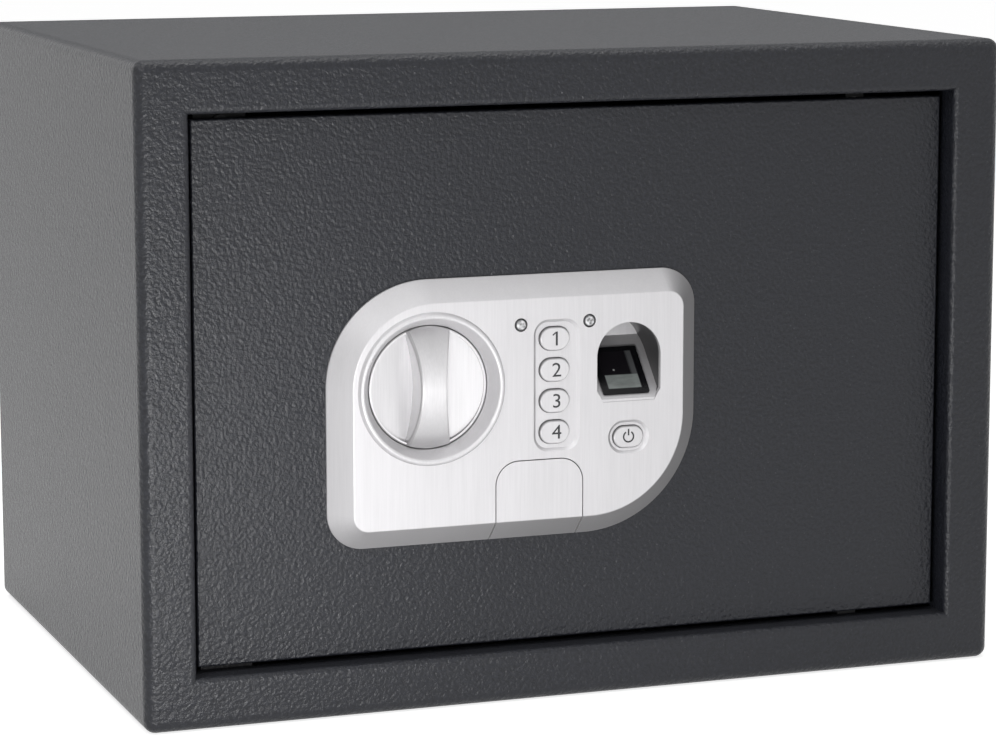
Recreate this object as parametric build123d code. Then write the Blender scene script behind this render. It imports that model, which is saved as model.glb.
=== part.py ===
from build123d import *
import os
from math import cos, radians, sin, sqrt

# A small electronic safe with a folded steel cabinet, a recessed hinged door, and a lock panel
# that carries a turning knob, four number keys, a power key, a finger reader and a snap-in cover
# over the override lock.
#
# Frame: +X is to the right seen from the front, the front faces -Y, +Z is up, and the origin is
# the centre of the cabinet's underside.  All sizes are millimetres.  At rest the door is closed
# and unlocked: the bolts are withdrawn, the knob's grip is upright and the solenoid is pulled in.

# ---------------------------------------------------------------- cabinet and door
CABINET_WIDTH = 350.0
CABINET_DEPTH = 250.0
CABINET_HEIGHT = 250.0
SHEET = 2.0
OUTER_BEND = 4.5
FRAME_WIDTH = 20.0
RETURN_DEPTH = 14.0
OPENING_BEND = 2.4
DOOR_RECESS = 8.0
DOOR_GAP = 2.4
DOOR_SHEET = 4.0
DOOR_EDGE = 0.8
ANCHOR_HOLE_R = 5.5
BASE_HOLES = (200.0, 120.0)
WALL_HOLES = 200.0
MAT_SHEET = 3.0

HALF_WIDTH = CABINET_WIDTH / 2
FRONT = -CABINET_DEPTH / 2
BACK = CABINET_DEPTH / 2
OPENING_HALF = HALF_WIDTH - FRAME_WIDTH
OPENING_LOW = FRAME_WIDTH
OPENING_HIGH = CABINET_HEIGHT - FRAME_WIDTH
RETURN_BACK = FRONT + RETURN_DEPTH
DOOR_FRONT = FRONT + DOOR_RECESS
DOOR_BACK = DOOR_FRONT + DOOR_SHEET
DOOR_HALF = OPENING_HALF - DOOR_GAP
DOOR_LOW = OPENING_LOW + DOOR_GAP
DOOR_HIGH = OPENING_HIGH - DOOR_GAP
MID_HEIGHT = CABINET_HEIGHT / 2

# ---------------------------------------------------------------- hinges and door stops
HINGE_X = 118.0
HINGE_Y = -107.0
PIN_R = 3.0
PIN_RUNNING = 0.05
BUSH_SQUARE = 7.8
BRACKET_SHEET = 3.0
BRACKET_X = (104.0, 138.0)
BRACKET_BACK = -97.0
KNUCKLE_SIZE = (20.0, 12.0, 18.0)
KNUCKLE_GAP = 0.2
STOP_X = (-150.0, -130.0)
STOP_DROP = 9.0
BUMPER_R = 3.2
BUMPER_SHEET = 1.7

# ---------------------------------------------------------------- inner cover on the door
COVER_SHEET = 1.2
COVER_X = (-143.0, 100.0)
COVER_Z = (36.0, 214.0)
COVER_BACK = -80.0
COVER_BEND = 3.0
POST_R = 4.0
POST_X = (-130.0, 88.0)
POST_Z = (45.0, 205.0)
COVER_SCREW_R = 2.0

# ---------------------------------------------------------------- lock panel
PANEL_X = (-102.0, 47.3)
PANEL_Z = (63.2, 164.7)
PANEL_CORNERS = (14.0, 46.0, 14.0, 40.0)
PANEL_SIDE = 1.0
PANEL_BEVEL = 8.0
PANEL_HEIGHT = 9.3
PANEL_WALL = 2.0
PANEL_EDGE = 0.6
PANEL_FACE = DOOR_FRONT - PANEL_HEIGHT
PANEL_INNER = PANEL_FACE + PANEL_WALL
PANEL_SCREWS = ((-88.0, 77.0), (-38.0, 153.0), (33.5, 150.5), (12.0, 82.0))
PANEL_SCREW_R = 1.9
PANEL_BOSS_R = 3.6

# ---------------------------------------------------------------- knob, shaft and crank
KNOB_X = -63.0
KNOB_Z = 124.2
KNOB_R = 23.5
KNOB_RIM = -121.7
KNOB_FOOT = -117.5
GRIP_CROWN = -129.7
GRIP_ARCH_R = 37.0
GRIP_WAIST = 5.2
GRIP_END = 8.8
GRIP_LENGTH = 21.5
SCOOP_R = 22.4
SCOOP_DEPTH = 3.0
WELL_R = 23.8
RING_R = 29.25
RING_CREST = -128.0
SHAFT_R = 5.0
SHAFT_FRONT_R = 3.5
SHAFT_SQUARE = 7.0
SHAFT_RUNNING = 0.05
KNOB_BUSH_SQUARE = 15.0
DISC_FRONT = -107.0
DISC_BACK = -103.0
DISC_R = 18.3
LOBE_R = 22.5
LOBE_ANGLES = (222.0, 252.0, 259.0)
CRANK_R = 16.0
CRANK_ANGLE = 60.0
CRANK_PIN_R = 3.0

# ---------------------------------------------------------------- bolts and their carrier
BOLT_R = 8.0
BOLT_Y = -101.5
BOLT_HEIGHTS = (85.0, 165.0)
BOLT_TIP = -152.5
BOLT_TRAVEL = 16.0
BOLT_RUNNING = 0.05
CARRIER_FRONT = -112.5
CARRIER_SHEET = 2.5
CARRIER_X = (-118.0, -11.0)
CARRIER_Z = (104.0, 148.0)
CARRIER_END_Z = (72.0, 178.0)
CARRIER_END_BACK = -92.0
GUIDE_POST_X = (-100.0, -33.0)
GUIDE_SHOULDER_R = 2.8
BOLT_GUIDE_X = (-141.5, -137.5)

# ---------------------------------------------------------------- solenoid and its plunger
SOLENOID_X = KNOB_X
SOLENOID_Y = -103.8
SOLENOID_Z = (40.0, 68.0)
PLUNGER_R = 3.5
PLUNGER_RUNNING = 0.08
PLUNGER_Z = (44.0, 99.9)
PLATE_Z = (74.2, 75.6)
PLATE_NECK_R = 2.8
SPRING_R = 4.9
SPRING_WIRE_R = 0.45

# ---------------------------------------------------------------- override lock and its cover
LOCK_X = -19.8
LOCK_Z = 79.5
BARREL_R = 9.0
BARREL_FRONT = -122.0
BARREL_BACK = -104.0
PLUG_R = 6.0
PLUG_RUNNING = 0.05
CAM_LENGTH = 24.0
CAM_HALF_WIDTH = 3.5
KEY_COVER_X = (-37.3, -2.3)
KEY_COVER_TOP = 94.3
KEY_COVER_CORNER = 9.0
KEY_COVER_SEAM = 0.4
POCKET_FLOOR = (-121.8, -120.3)

# ---------------------------------------------------------------- keys, lamps and finger reader
KEY_SIZE = (12.2, 9.0)
KEY_X = -13.5
KEY_HEIGHTS = (140.8, 128.8, 116.8, 104.8)
POWER_KEY_SIZE = (12.5, 8.5)
POWER_KEY = (16.8, 101.1)
KEY_SEAM = 0.25
KEY_FACE = -126.2
KEY_FLANGE = (-123.2, -122.2)
CHANNEL_X = (-22.2, -3.3)
CHANNEL_Z = (97.4, 148.3)
CHANNEL_DEPTH = 1.2
LED_PLACES = ((-27.3, 146.7), (0.5, 147.0))
LED_R = 2.35
ARCH_X = (3.7, 29.9)
ARCH_LOW = 115.0
ARCH_CENTRE_Z = 132.5
ARCH_CHAMFER = (2.6, 4.4)
GUIDE_WALL = 1.2
RAMP_FRONT = -126.0
RAMP_FOOT = 116.0
RAMP_BACK = -104.6
RAMP_WALL = 1.5
BEZEL_SIZE = (19.1, 22.2)
WINDOW_SIZE = (15.0, 18.0)

# ---------------------------------------------------------------- electronics
BOARD_SHEET = 1.6
KEYPAD_BOARD_BACK = -118.8
CONTROL_X = (36.0, 94.0)
CONTROL_Z = (120.0, 196.0)
CONTROL_FRONT = -109.6
BATTERY_X = (32.0, 94.2)
BATTERY_Z = (52.0, 115.2)
BATTERY_FRONT = -97.5
BATTERY_WALL = 1.2
CELL_R = 7.1
CELL_X = (38.0, 87.5)
CELL_PITCH = 15.0
CELL_NUB = 1.0
RESET_X = 50.0
RESET_Z = 130.0
RESET_TRAVEL = 1.5
SOCKET_BACK = CONTROL_FRONT + BOARD_SHEET + 3.4
LEAD_R = 1.3
LEAD_BEND = 7.0
LEAD_X = 66.0
LEAD_Y = -88.5
LEAD_TURN_Z = 131.0


# ================================================================ shared shapes
def block(x, y, z):
    """Box between a low and a high limit on each axis."""
    sizes = [high - low for low, high in (x, y, z)]
    return Pos(x[0], y[0], z[0]) * Box(*sizes, align=(Align.MIN, Align.MIN, Align.MIN))


def rect(x, z):
    """Rectangle in the front view between limits in x and z."""
    return Pos((x[0] + x[1]) / 2, (z[0] + z[1]) / 2) * Rectangle(x[1] - x[0], z[1] - z[0])


def front_plane(y):
    """Plane at depth y whose sketches are drawn in (x, z) as seen from the front."""
    return Plane(origin=(0, y, 0), x_dir=(1, 0, 0), z_dir=(0, -1, 0))


def from_front(outline, y_front, y_back):
    """Solid of a front-view outline between two depths."""
    return extrude(front_plane(y_back) * outline, y_back - y_front)


def rod_x(y, z, radius, x_low, x_high):
    """Round bar along X."""
    bar = Cylinder(radius, x_high - x_low, align=(Align.CENTER, Align.CENTER, Align.MIN))
    return Pos(x_low, y, z) * Rot(0, 90, 0) * bar


def rod_y(x, z, radius, y_front, y_back):
    """Round bar along Y."""
    return from_front(Pos(x, z) * Circle(radius), y_front, y_back)


def rod_z(x, y, radius, z_low, z_high):
    """Round bar along Z."""
    bar = Cylinder(radius, z_high - z_low, align=(Align.CENTER, Align.CENTER, Align.MIN))
    return Pos(x, y, z_low) * bar


def square_y(x, z, side, y_front, y_back):
    """Square bar along Y."""
    return from_front(Pos(x, z) * Rectangle(side, side), y_front, y_back)


def grow(outline, margin):
    """Outline moved outwards by a margin, with its corners kept."""
    return offset(outline, amount=margin, kind=Kind.INTERSECTION)


def edges_at_front(shape):
    """Edges of a shape that lie wholly in its foremost plane."""
    return shape.edges().group_by(Axis.Y)[0]


def disc_point(radius, degrees):
    """Front-view point at a radius and angle about the knob's axis."""
    return (KNOB_X + radius * cos(radians(degrees)), KNOB_Z + radius * sin(radians(degrees)))


# ================================================================ cabinet
def cabinet_shell():
    """Folded body: four walls, a front frame and the return round the door opening."""
    body = block((-HALF_WIDTH, HALF_WIDTH), (FRONT, BACK), (0, CABINET_HEIGHT))
    body = fillet(body.edges().filter_by(Axis.Y) + edges_at_front(body), OUTER_BEND)
    inside = block(
        (SHEET - HALF_WIDTH, HALF_WIDTH - SHEET),
        (FRONT + SHEET, BACK + 1),
        (SHEET, CABINET_HEIGHT - SHEET),
    )
    body -= fillet(inside.edges().filter_by(Axis.Y), OUTER_BEND - SHEET)
    opening = rect((-OPENING_HALF, OPENING_HALF), (OPENING_LOW, OPENING_HIGH))
    body += from_front(grow(opening, SHEET), FRONT, RETURN_BACK)
    body -= from_front(opening, FRONT - 1, RETURN_BACK + 1)
    body = fillet([edge for edge in edges_at_front(body) if in_opening(edge.center())], OPENING_BEND)
    for x, y in base_hole_places():
        body -= rod_z(x, y, ANCHOR_HOLE_R, -1, SHEET + 1)
    return body


def in_opening(point):
    """True for a point that lies on the door opening's rim."""
    near_height = abs(point.Z - MID_HEIGHT) < MID_HEIGHT - FRAME_WIDTH + 1
    return abs(point.X) < OPENING_HALF + 1 and near_height


def base_hole_places():
    """Centres of the four anchor holes in the base."""
    return [(sx * BASE_HOLES[0] / 2, sy * BASE_HOLES[1] / 2) for sx in (-1, 1) for sy in (-1, 1)]


def back_panel():
    """Back sheet, set flush inside the shell, with two wall anchor holes."""
    outline = rect((SHEET - HALF_WIDTH, HALF_WIDTH - SHEET), (SHEET, CABINET_HEIGHT - SHEET))
    outline = fillet(outline.vertices(), OUTER_BEND - SHEET + 0.1)
    panel = from_front(outline, BACK - SHEET, BACK)
    for side in (-1, 1):
        panel -= rod_y(side * WALL_HOLES / 2, MID_HEIGHT, ANCHOR_HOLE_R, BACK - SHEET - 1, BACK + 1)
    return panel


def floor_mat():
    """Felt mat on the floor, cut away round the anchor holes."""
    reach = HALF_WIDTH - OUTER_BEND
    mat = block((-reach, reach), (FRONT + SHEET * 2, BACK - SHEET * 2), (SHEET, SHEET + MAT_SHEET))
    for x, y in base_hole_places():
        mat -= rod_z(x, y, ANCHOR_HOLE_R + 6.5, 0, SHEET + MAT_SHEET + 1)
    return mat


def hinge_bracket(z):
    """Plate welded to the return, with a square hole for the hinge bush."""
    plate = block(BRACKET_X, (FRONT + SHEET, BRACKET_BACK), z)
    half = BUSH_SQUARE / 2
    return plate - block((HINGE_X - half, HINGE_X + half), (HINGE_Y - half, HINGE_Y + half), z)


def hinge_brackets():
    """Upper and lower bracket limits in z."""
    top = OPENING_HIGH + SHEET
    low = OPENING_LOW - SHEET
    return {"lower": (low - BRACKET_SHEET, low), "upper": (top, top + BRACKET_SHEET)}


def hinge_bushes():
    """Square-bodied nylon bushes, one in each bracket."""
    half = BUSH_SQUARE / 2
    spans = ((hinge_brackets()["lower"][0], DOOR_LOW), (DOOR_HIGH, hinge_brackets()["upper"][1]))
    bushes = Part()
    for span in spans:
        body = block((HINGE_X - half, HINGE_X + half), (HINGE_Y - half, HINGE_Y + half), span)
        bushes += body - rod_z(HINGE_X, HINGE_Y, PIN_R + PIN_RUNNING, span[0] - 1, span[1] + 1)
    return bushes


def door_stops():
    """Two tabs behind the return, which the closed door's bumpers face."""
    y = (RETURN_BACK, RETURN_BACK + SHEET)
    upper = block(STOP_X, y, (OPENING_HIGH - STOP_DROP, OPENING_HIGH + SHEET))
    lower = block(STOP_X, y, (OPENING_LOW - SHEET, OPENING_LOW + STOP_DROP))
    return upper + lower


def stop_bumpers():
    """Rubber pads on the stop tabs."""
    middle = sum(STOP_X) / 2
    pads = Part()
    for z in (OPENING_LOW + STOP_DROP / 2, OPENING_HIGH - STOP_DROP / 2):
        pads += rod_y(middle, z, BUMPER_R, RETURN_BACK - BUMPER_SHEET, RETURN_BACK)
    return pads


# ================================================================ door
def door_plate():
    """Flat door with holes for the knob bush, reader, override lock and screws."""
    outline = rect((-DOOR_HALF, DOOR_HALF), (DOOR_LOW, DOOR_HIGH))
    plate = from_front(outline, DOOR_FRONT, DOOR_BACK)
    plate = fillet(edges_at_front(plate), DOOR_EDGE)
    through = (DOOR_FRONT - 1, DOOR_BACK + 1)
    plate -= square_y(KNOB_X, KNOB_Z, KNOB_BUSH_SQUARE, *through)
    plate -= rod_y(LOCK_X, LOCK_Z, BARREL_R + 0.1, *through)
    reader_hole = rect((ARCH_X[0] - 1.7, ARCH_X[1] + 1.7), (ARCH_LOW - 10, ARCH_CENTRE_Z + 16.5))
    plate -= from_front(reader_hole, *through)
    for x, z in PANEL_SCREWS:
        plate -= rod_y(x, z, PANEL_SCREW_R + 0.3, *through)
    for x in GUIDE_POST_X:
        plate -= rod_y(x, KNOB_Z, GUIDE_SHOULDER_R - 0.75, DOOR_BACK - 2.6, DOOR_BACK + 1)
    return plate


def hinge_knuckles():
    """Blocks welded behind the door's upper and lower edges, bored for the pins."""
    x = (HINGE_X - KNUCKLE_SIZE[0] / 2, HINGE_X + KNUCKLE_SIZE[0] / 2)
    y = (DOOR_BACK, DOOR_BACK + KNUCKLE_SIZE[1])
    lower = (DOOR_LOW + KNUCKLE_GAP, DOOR_LOW + KNUCKLE_GAP + KNUCKLE_SIZE[2])
    upper = (DOOR_HIGH - KNUCKLE_GAP - KNUCKLE_SIZE[2], DOOR_HIGH - KNUCKLE_GAP)
    knuckles = block(x, y, lower) + block(x, y, upper)
    return knuckles - rod_z(HINGE_X, HINGE_Y, PIN_R, DOOR_LOW, DOOR_HIGH)


def hinge_pin(upper):
    """Steel pin pressed into a knuckle, which turns in the bracket's bush."""
    if upper:
        span = (DOOR_HIGH - KNUCKLE_GAP - KNUCKLE_SIZE[2], OPENING_HIGH + SHEET + BRACKET_SHEET + 1.5)
    else:
        span = (OPENING_LOW - SHEET - BRACKET_SHEET - 1.5, DOOR_LOW + KNUCKLE_GAP + KNUCKLE_SIZE[2])
    pin = rod_z(HINGE_X, HINGE_Y, PIN_R, *span)
    free_end = pin.edges().sort_by(Axis.Z)[-1 if upper else 0]
    return chamfer(free_end, 0.6)


def inner_cover():
    """Folded cover behind the door that closes off the lock works."""
    cover = block(COVER_X, (DOOR_BACK, COVER_BACK), COVER_Z)
    cover = fillet(cover.edges().filter_by(Axis.Y) + cover.edges().group_by(Axis.Y)[-1], COVER_BEND)
    inside = block(
        (COVER_X[0] + COVER_SHEET, COVER_X[1] - COVER_SHEET),
        (DOOR_BACK - 1, COVER_BACK - COVER_SHEET),
        (COVER_Z[0] + COVER_SHEET, COVER_Z[1] - COVER_SHEET),
    )
    bend = COVER_BEND - COVER_SHEET
    cover -= fillet(inside.edges().filter_by(Axis.Y) + inside.edges().group_by(Axis.Y)[-1], bend)
    for z in BOLT_HEIGHTS:
        cover -= rod_x(BOLT_Y, z, BOLT_R + 0.6, COVER_X[0] - 1, COVER_X[0] + COVER_SHEET + 1)
    through = (COVER_BACK - COVER_SHEET - 1, COVER_BACK + 1)
    cover -= from_front(rect(BATTERY_X, BATTERY_Z), *through)
    cover -= rod_y(RESET_X, RESET_Z, 3.2, *through)
    for x in POST_X:
        for z in POST_Z:
            cover -= rod_y(x, z, COVER_SCREW_R + 0.1, *through)
    return cover


def cover_posts():
    """Four threaded posts on the door for the inner cover."""
    posts = Part()
    for x in POST_X:
        for z in POST_Z:
            post = rod_y(x, z, POST_R, DOOR_BACK, COVER_BACK - COVER_SHEET)
            posts += post - rod_y(x, z, COVER_SCREW_R + 0.05, COVER_BACK - 12, COVER_BACK)
    return posts


def cover_screws():
    """Four button-head screws of the inner cover."""
    screws = Part()
    for x in POST_X:
        for z in POST_Z:
            head = rod_y(x, z, POST_R, COVER_BACK, COVER_BACK + 2.2)
            head = fillet(head.edges().group_by(Axis.Y)[-1], 1.2)
            head -= from_front(Pos(x, z) * RegularPolygon(1.4, 6), COVER_BACK + 1, COVER_BACK + 3)
            screws += head + rod_y(x, z, COVER_SCREW_R, COVER_BACK - 10, COVER_BACK)
    return screws


def bolt_guide():
    """Plate that both bolts slide through."""
    guide = block(BOLT_GUIDE_X, (DOOR_BACK, BOLT_Y + 10.5), (70, 180))
    for z in BOLT_HEIGHTS:
        guide -= rod_x(BOLT_Y, z, BOLT_R + BOLT_RUNNING, BOLT_GUIDE_X[0] - 1, BOLT_GUIDE_X[1] + 1)
    return guide


def guide_screws():
    """Shoulder screws that hold the carrier against the door and let it slide."""
    screws = Part()
    head_front = CARRIER_FRONT + CARRIER_SHEET + 0.2
    for x in GUIDE_POST_X:
        screw = rod_y(x, KNOB_Z, GUIDE_SHOULDER_R, DOOR_BACK, head_front)
        screw += rod_y(x, KNOB_Z, GUIDE_SHOULDER_R - 0.8, DOOR_BACK - 2.4, DOOR_BACK)
        screw += rod_y(x, KNOB_Z, 4.5, head_front, head_front + 2.2)
        screws += screw
    return screws


def knob_bush():
    """Square-bodied nylon bush in the door for the knob's shaft."""
    bush = square_y(KNOB_X, KNOB_Z, KNOB_BUSH_SQUARE, DOOR_FRONT, DOOR_BACK)
    return bush - rod_y(KNOB_X, KNOB_Z, SHAFT_R + SHAFT_RUNNING, DOOR_FRONT - 1, DOOR_BACK + 1)


# ================================================================ lock panel
def panel_outline(inset):
    """Panel outline with its own radius at each corner, moved inwards by an inset."""
    x = (PANEL_X[0] + inset, PANEL_X[1] - inset)
    z = (PANEL_Z[0] + inset, PANEL_Z[1] - inset)
    corners = ((x[0], z[0]), (x[1], z[0]), (x[1], z[1]), (x[0], z[1]))
    face = rect(x, z)
    for (corner_x, corner_z), radius in zip(corners, PANEL_CORNERS):
        corner = face.vertices().sort_by_distance((corner_x, corner_z, 0))[0]
        face = fillet(corner, radius - inset)
    return face


def lofted(outline_back, y_back, outline_front, y_front):
    """Straight-sided solid between two front-view outlines at two depths."""
    sections = [front_plane(y_back) * outline_back, front_plane(y_front) * outline_front]
    return loft(sections, ruled=True)


def panel_envelope():
    """Full outer form of the lock panel: a short side wall and a broad bevel."""
    side_top = DOOR_FRONT - PANEL_SIDE
    base = from_front(panel_outline(0), side_top, DOOR_FRONT)
    bevel = lofted(panel_outline(0), side_top, panel_outline(PANEL_BEVEL), PANEL_FACE)
    return fillet(edges_at_front(base + bevel), PANEL_EDGE)


def panel_hollow():
    """Space inside the lock panel's wall."""
    return lofted(panel_outline(1.8), DOOR_FRONT, panel_outline(8.85), PANEL_INNER)


def slot_outline(x, z, width, height):
    """Pill shape centred on a point."""
    return Pos(x, z) * SlotOverall(width, height)


def rounded_rect(x, z, radius):
    """Rectangle between limits with equal corner radii."""
    return fillet(rect(x, z).vertices(), radius)


def key_places():
    """Centre and size of every key, by its node's name."""
    places = {f"key_{i + 1}": (KEY_X, z, *KEY_SIZE) for i, z in enumerate(KEY_HEIGHTS)}
    places["power_key"] = (*POWER_KEY, *POWER_KEY_SIZE)
    return places


def arch_outline():
    """Round-topped outline of the finger recess, with its lower corners cut off."""
    low, high = ARCH_X
    foot_x, foot_z = ARCH_CHAMFER
    top = (sum(ARCH_X) / 2, ARCH_CENTRE_Z + (high - low) / 2)
    sides = Polyline(
        (low, ARCH_CENTRE_Z),
        (low, ARCH_LOW + foot_z),
        (low + foot_x, ARCH_LOW),
        (high - foot_x, ARCH_LOW),
        (high, ARCH_LOW + foot_z),
        (high, ARCH_CENTRE_Z),
    )
    return make_face(sides + ThreePointArc((high, ARCH_CENTRE_Z), top, (low, ARCH_CENTRE_Z)))


def key_cover_outline(margin):
    """Outline of the snap-in cover, which runs off the panel's lower edge."""
    x = (KEY_COVER_X[0] - margin, KEY_COVER_X[1] + margin)
    top = KEY_COVER_TOP + margin
    face = rect(x, (PANEL_Z[0] - 1, top))
    upper = face.vertices().group_by(Axis.Y)[-1]
    return fillet(upper, KEY_COVER_CORNER + margin)


def knob_ring():
    """Raised ring round the knob with its sloping well, turned about the knob's axis."""
    front = -(RING_CREST - DOOR_FRONT)
    rim = -(KNOB_RIM - DOOR_FRONT)
    face = PANEL_HEIGHT
    inner_face = PANEL_HEIGHT - PANEL_WALL
    profile = Polyline(
        (WELL_R, 0.3),
        (WELL_R, rim),
        (RING_R - 2.55, front - 0.6),
    )
    crest = ((RING_R - 2.55, front - 0.6), (RING_R - 1.7, front), (RING_R - 0.7, front - 0.5))
    profile += ThreePointArc(*crest)
    profile += Polyline(
        (RING_R - 0.7, front - 0.5),
        (RING_R, face),
        (RING_R, inner_face),
        (WELL_R + 2.6, inner_face),
        (WELL_R + 1.5, rim - 1),
        (WELL_R + 1.5, 0.3),
        (WELL_R, 0.3),
    )
    # The profile is drawn with the radius along its x and the height off the door along its y.
    turned = revolve(Plane.XY * make_face(profile), Axis.Y, 360)
    return Pos(KNOB_X, DOOR_FRONT, KNOB_Z) * Rot(180, 0, 0) * turned


def lock_panel():
    """Moulded panel with the knob's ring, key channel, reader opening and cover pocket."""
    envelope = panel_envelope()
    panel = envelope - panel_hollow()
    pad_front = PANEL_INNER - 0.01
    pad_back = -KEY_SEAM + KEY_FLANGE[0] + 0.05
    channel = rounded_rect(CHANNEL_X, CHANNEL_Z, 6.0)
    panel += from_front(grow_round(channel, 1.0), pad_front, pad_back)
    panel += from_front(slot_outline(*POWER_KEY, 19.0, 15.2), pad_front, pad_back)
    for x, z in PANEL_SCREWS:
        boss = rod_y(x, z, PANEL_BOSS_R, PANEL_INNER, DOOR_FRONT)
        panel += boss - rod_y(x, z, PANEL_SCREW_R + 0.05, DOOR_FRONT - 4, DOOR_FRONT + 1)
    panel -= rod_y(KNOB_X, KNOB_Z, RING_R - 1.0, PANEL_FACE - 1, DOOR_FRONT)
    panel += knob_ring()
    panel -= lofted(grow_round(channel, -CHANNEL_DEPTH), PANEL_FACE + CHANNEL_DEPTH, channel, PANEL_FACE)
    dish = slot_outline(*POWER_KEY, 17.0, 13.2)
    panel -= lofted(slot_outline(*POWER_KEY, 14.8, 11.0), PANEL_FACE + 1.0, dish, PANEL_FACE)
    for x, z, width, height in key_places().values():
        hole = slot_outline(x, z, width + 2 * KEY_SEAM, height + 2 * KEY_SEAM)
        panel -= from_front(hole, PANEL_FACE - 1, DOOR_FRONT)
    for x, z in LED_PLACES:
        panel -= rod_y(x, z, LED_R + 0.25, PANEL_FACE - 1, DOOR_FRONT)
    panel -= from_front(arch_outline(), PANEL_FACE - 1, DOOR_FRONT)
    return cover_pocket(panel, envelope)


def grow_round(outline, margin):
    """Outline moved outwards (or inwards) with its corners kept round."""
    return offset(outline, amount=margin)


def cover_pocket(panel, envelope):
    """Cuts the snap-in cover's opening and adds a walled tray behind it."""
    tray_z = PANEL_Z[0] + 7.0
    tray = envelope & from_front(key_cover_outline(1.5), PANEL_FACE - 1, POCKET_FLOOR[1])
    below_x = (KEY_COVER_X[0] - 5, KEY_COVER_X[1] + 5)
    below = block(below_x, (PANEL_FACE - 1, DOOR_FRONT), (PANEL_Z[0] - 5, tray_z))
    opening = from_front(key_cover_outline(KEY_COVER_SEAM), PANEL_FACE - 2, POCKET_FLOOR[0])
    cut_all = from_front(key_cover_outline(KEY_COVER_SEAM), PANEL_FACE - 2, DOOR_FRONT + 1)
    panel = (panel - cut_all) + ((tray - below) - opening)
    return panel - rod_y(LOCK_X, LOCK_Z, BARREL_R + 0.2, PANEL_FACE - 1, DOOR_FRONT)


def key_cover():
    """Snap-in cover over the override lock; it follows the panel's face and bevel."""
    shell = panel_envelope() - panel_hollow()
    cover = shell & from_front(key_cover_outline(0), PANEL_FACE - 1, DOOR_FRONT + 1)
    for x in (KEY_COVER_X[0] + 5, KEY_COVER_X[1] - 5):
        cover += block((x - 2, x + 2), (PANEL_INNER - 0.5, POCKET_FLOOR[0] - 0.3), (83, 85))
    return cover


def panel_screws():
    """Four screws through the door into the lock panel's bosses."""
    screws = Part()
    for x, z in PANEL_SCREWS:
        screw = rod_y(x, z, PANEL_SCREW_R, DOOR_FRONT - 3.6, DOOR_BACK)
        screws += screw + rod_y(x, z, 3.2, DOOR_BACK, DOOR_BACK + 2)
    return screws


def led_lenses():
    """Two clear lamp lenses that reach back to the keypad board."""
    lenses = Part()
    for x, z in LED_PLACES:
        lens = rod_y(x, z, LED_R, PANEL_FACE - 0.5, KEYPAD_BOARD_BACK - BOARD_SHEET)
        lenses += fillet(edges_at_front(lens), 1.2)
    return lenses


def key(x, z, width, height):
    """Key cap with a round front edge and a flange that keeps it in the panel."""
    cap = from_front(slot_outline(x, z, width, height), KEY_FACE, KEY_FLANGE[0])
    cap = fillet(edges_at_front(cap), 0.7)
    return cap + from_front(slot_outline(x, z, width + 1.8, height + 1.8), *KEY_FLANGE)


def finger_guide():
    """Arched pocket with a sloping floor that leads the finger onto the reader."""
    arch = arch_outline()
    body = from_front(grow(arch, GUIDE_WALL), PANEL_INNER, RAMP_BACK + RAMP_WALL)
    body += from_front(offset(arch, amount=-0.05), RAMP_FRONT, PANEL_INNER)
    cavity = from_front(arch, PANEL_FACE - 1, RAMP_BACK)
    run = RAMP_BACK - RAMP_FRONT
    side = Polyline(
        (RAMP_FRONT - 2, RAMP_FOOT - 2),
        (RAMP_BACK, RAMP_FOOT + run),
        (RAMP_BACK, RAMP_FOOT - 10),
        (RAMP_FRONT - 2, RAMP_FOOT - 10),
        close=True,
    )
    wedge = extrude(Plane.YZ.offset(ARCH_X[0] - 5) * make_face(side), ARCH_X[1] - ARCH_X[0] + 10)
    body -= cavity - wedge
    drop = RAMP_WALL * sqrt(2)
    under_z = (ARCH_LOW, RAMP_FOOT + run + RAMP_WALL - drop)
    under = Polyline(
        (RAMP_BACK + RAMP_WALL, under_z[0]),
        (RAMP_BACK + RAMP_WALL, under_z[1]),
        (RAMP_BACK + RAMP_WALL - (under_z[1] - under_z[0]), under_z[0]),
        close=True,
    )
    hollow = extrude(
        Plane.YZ.offset(ARCH_X[0] + ARCH_CHAMFER[0]) * make_face(under),
        ARCH_X[1] - ARCH_X[0] - 2 * ARCH_CHAMFER[0],
    )
    body -= hollow
    window = Rectangle(WINDOW_SIZE[0] + 0.2, WINDOW_SIZE[1] + 0.2)
    return body - extrude(ramp_plane() * window, -RAMP_WALL - 1)


def ramp_plane():
    """Plane of the sloping floor, centred on the reader window and facing the finger."""
    middle = sum(ARCH_X) / 2 - 0.25
    depth = RAMP_FRONT + 9.25
    return Plane(origin=(middle, depth, RAMP_FOOT + depth - RAMP_FRONT), x_dir=(1, 0, 0), z_dir=(0, -1, 1))


def sensor_bezel():
    """Dark frame round the reader window."""
    outer = fillet(Rectangle(*BEZEL_SIZE).vertices(), 0.8)
    inner = Rectangle(WINDOW_SIZE[0] + 0.1, WINDOW_SIZE[1] + 0.1)
    return extrude(ramp_plane() * (outer - inner), 0.8)


def sensor_window():
    """Glass of the finger reader, which stands in the bezel."""
    glass = extrude(ramp_plane() * Rectangle(*WINDOW_SIZE), 0.6)
    return glass + extrude(ramp_plane() * Rectangle(*WINDOW_SIZE), -RAMP_WALL)


def sensor_module():
    """Reader module held against the underside of the sloping floor."""
    under = ramp_plane().offset(-RAMP_WALL)
    module = extrude(under * Rectangle(17.0, 18.0), -2.4)
    return module + extrude(under.offset(-2.4) * Rectangle(8.0, 4.0), -1.6)


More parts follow.
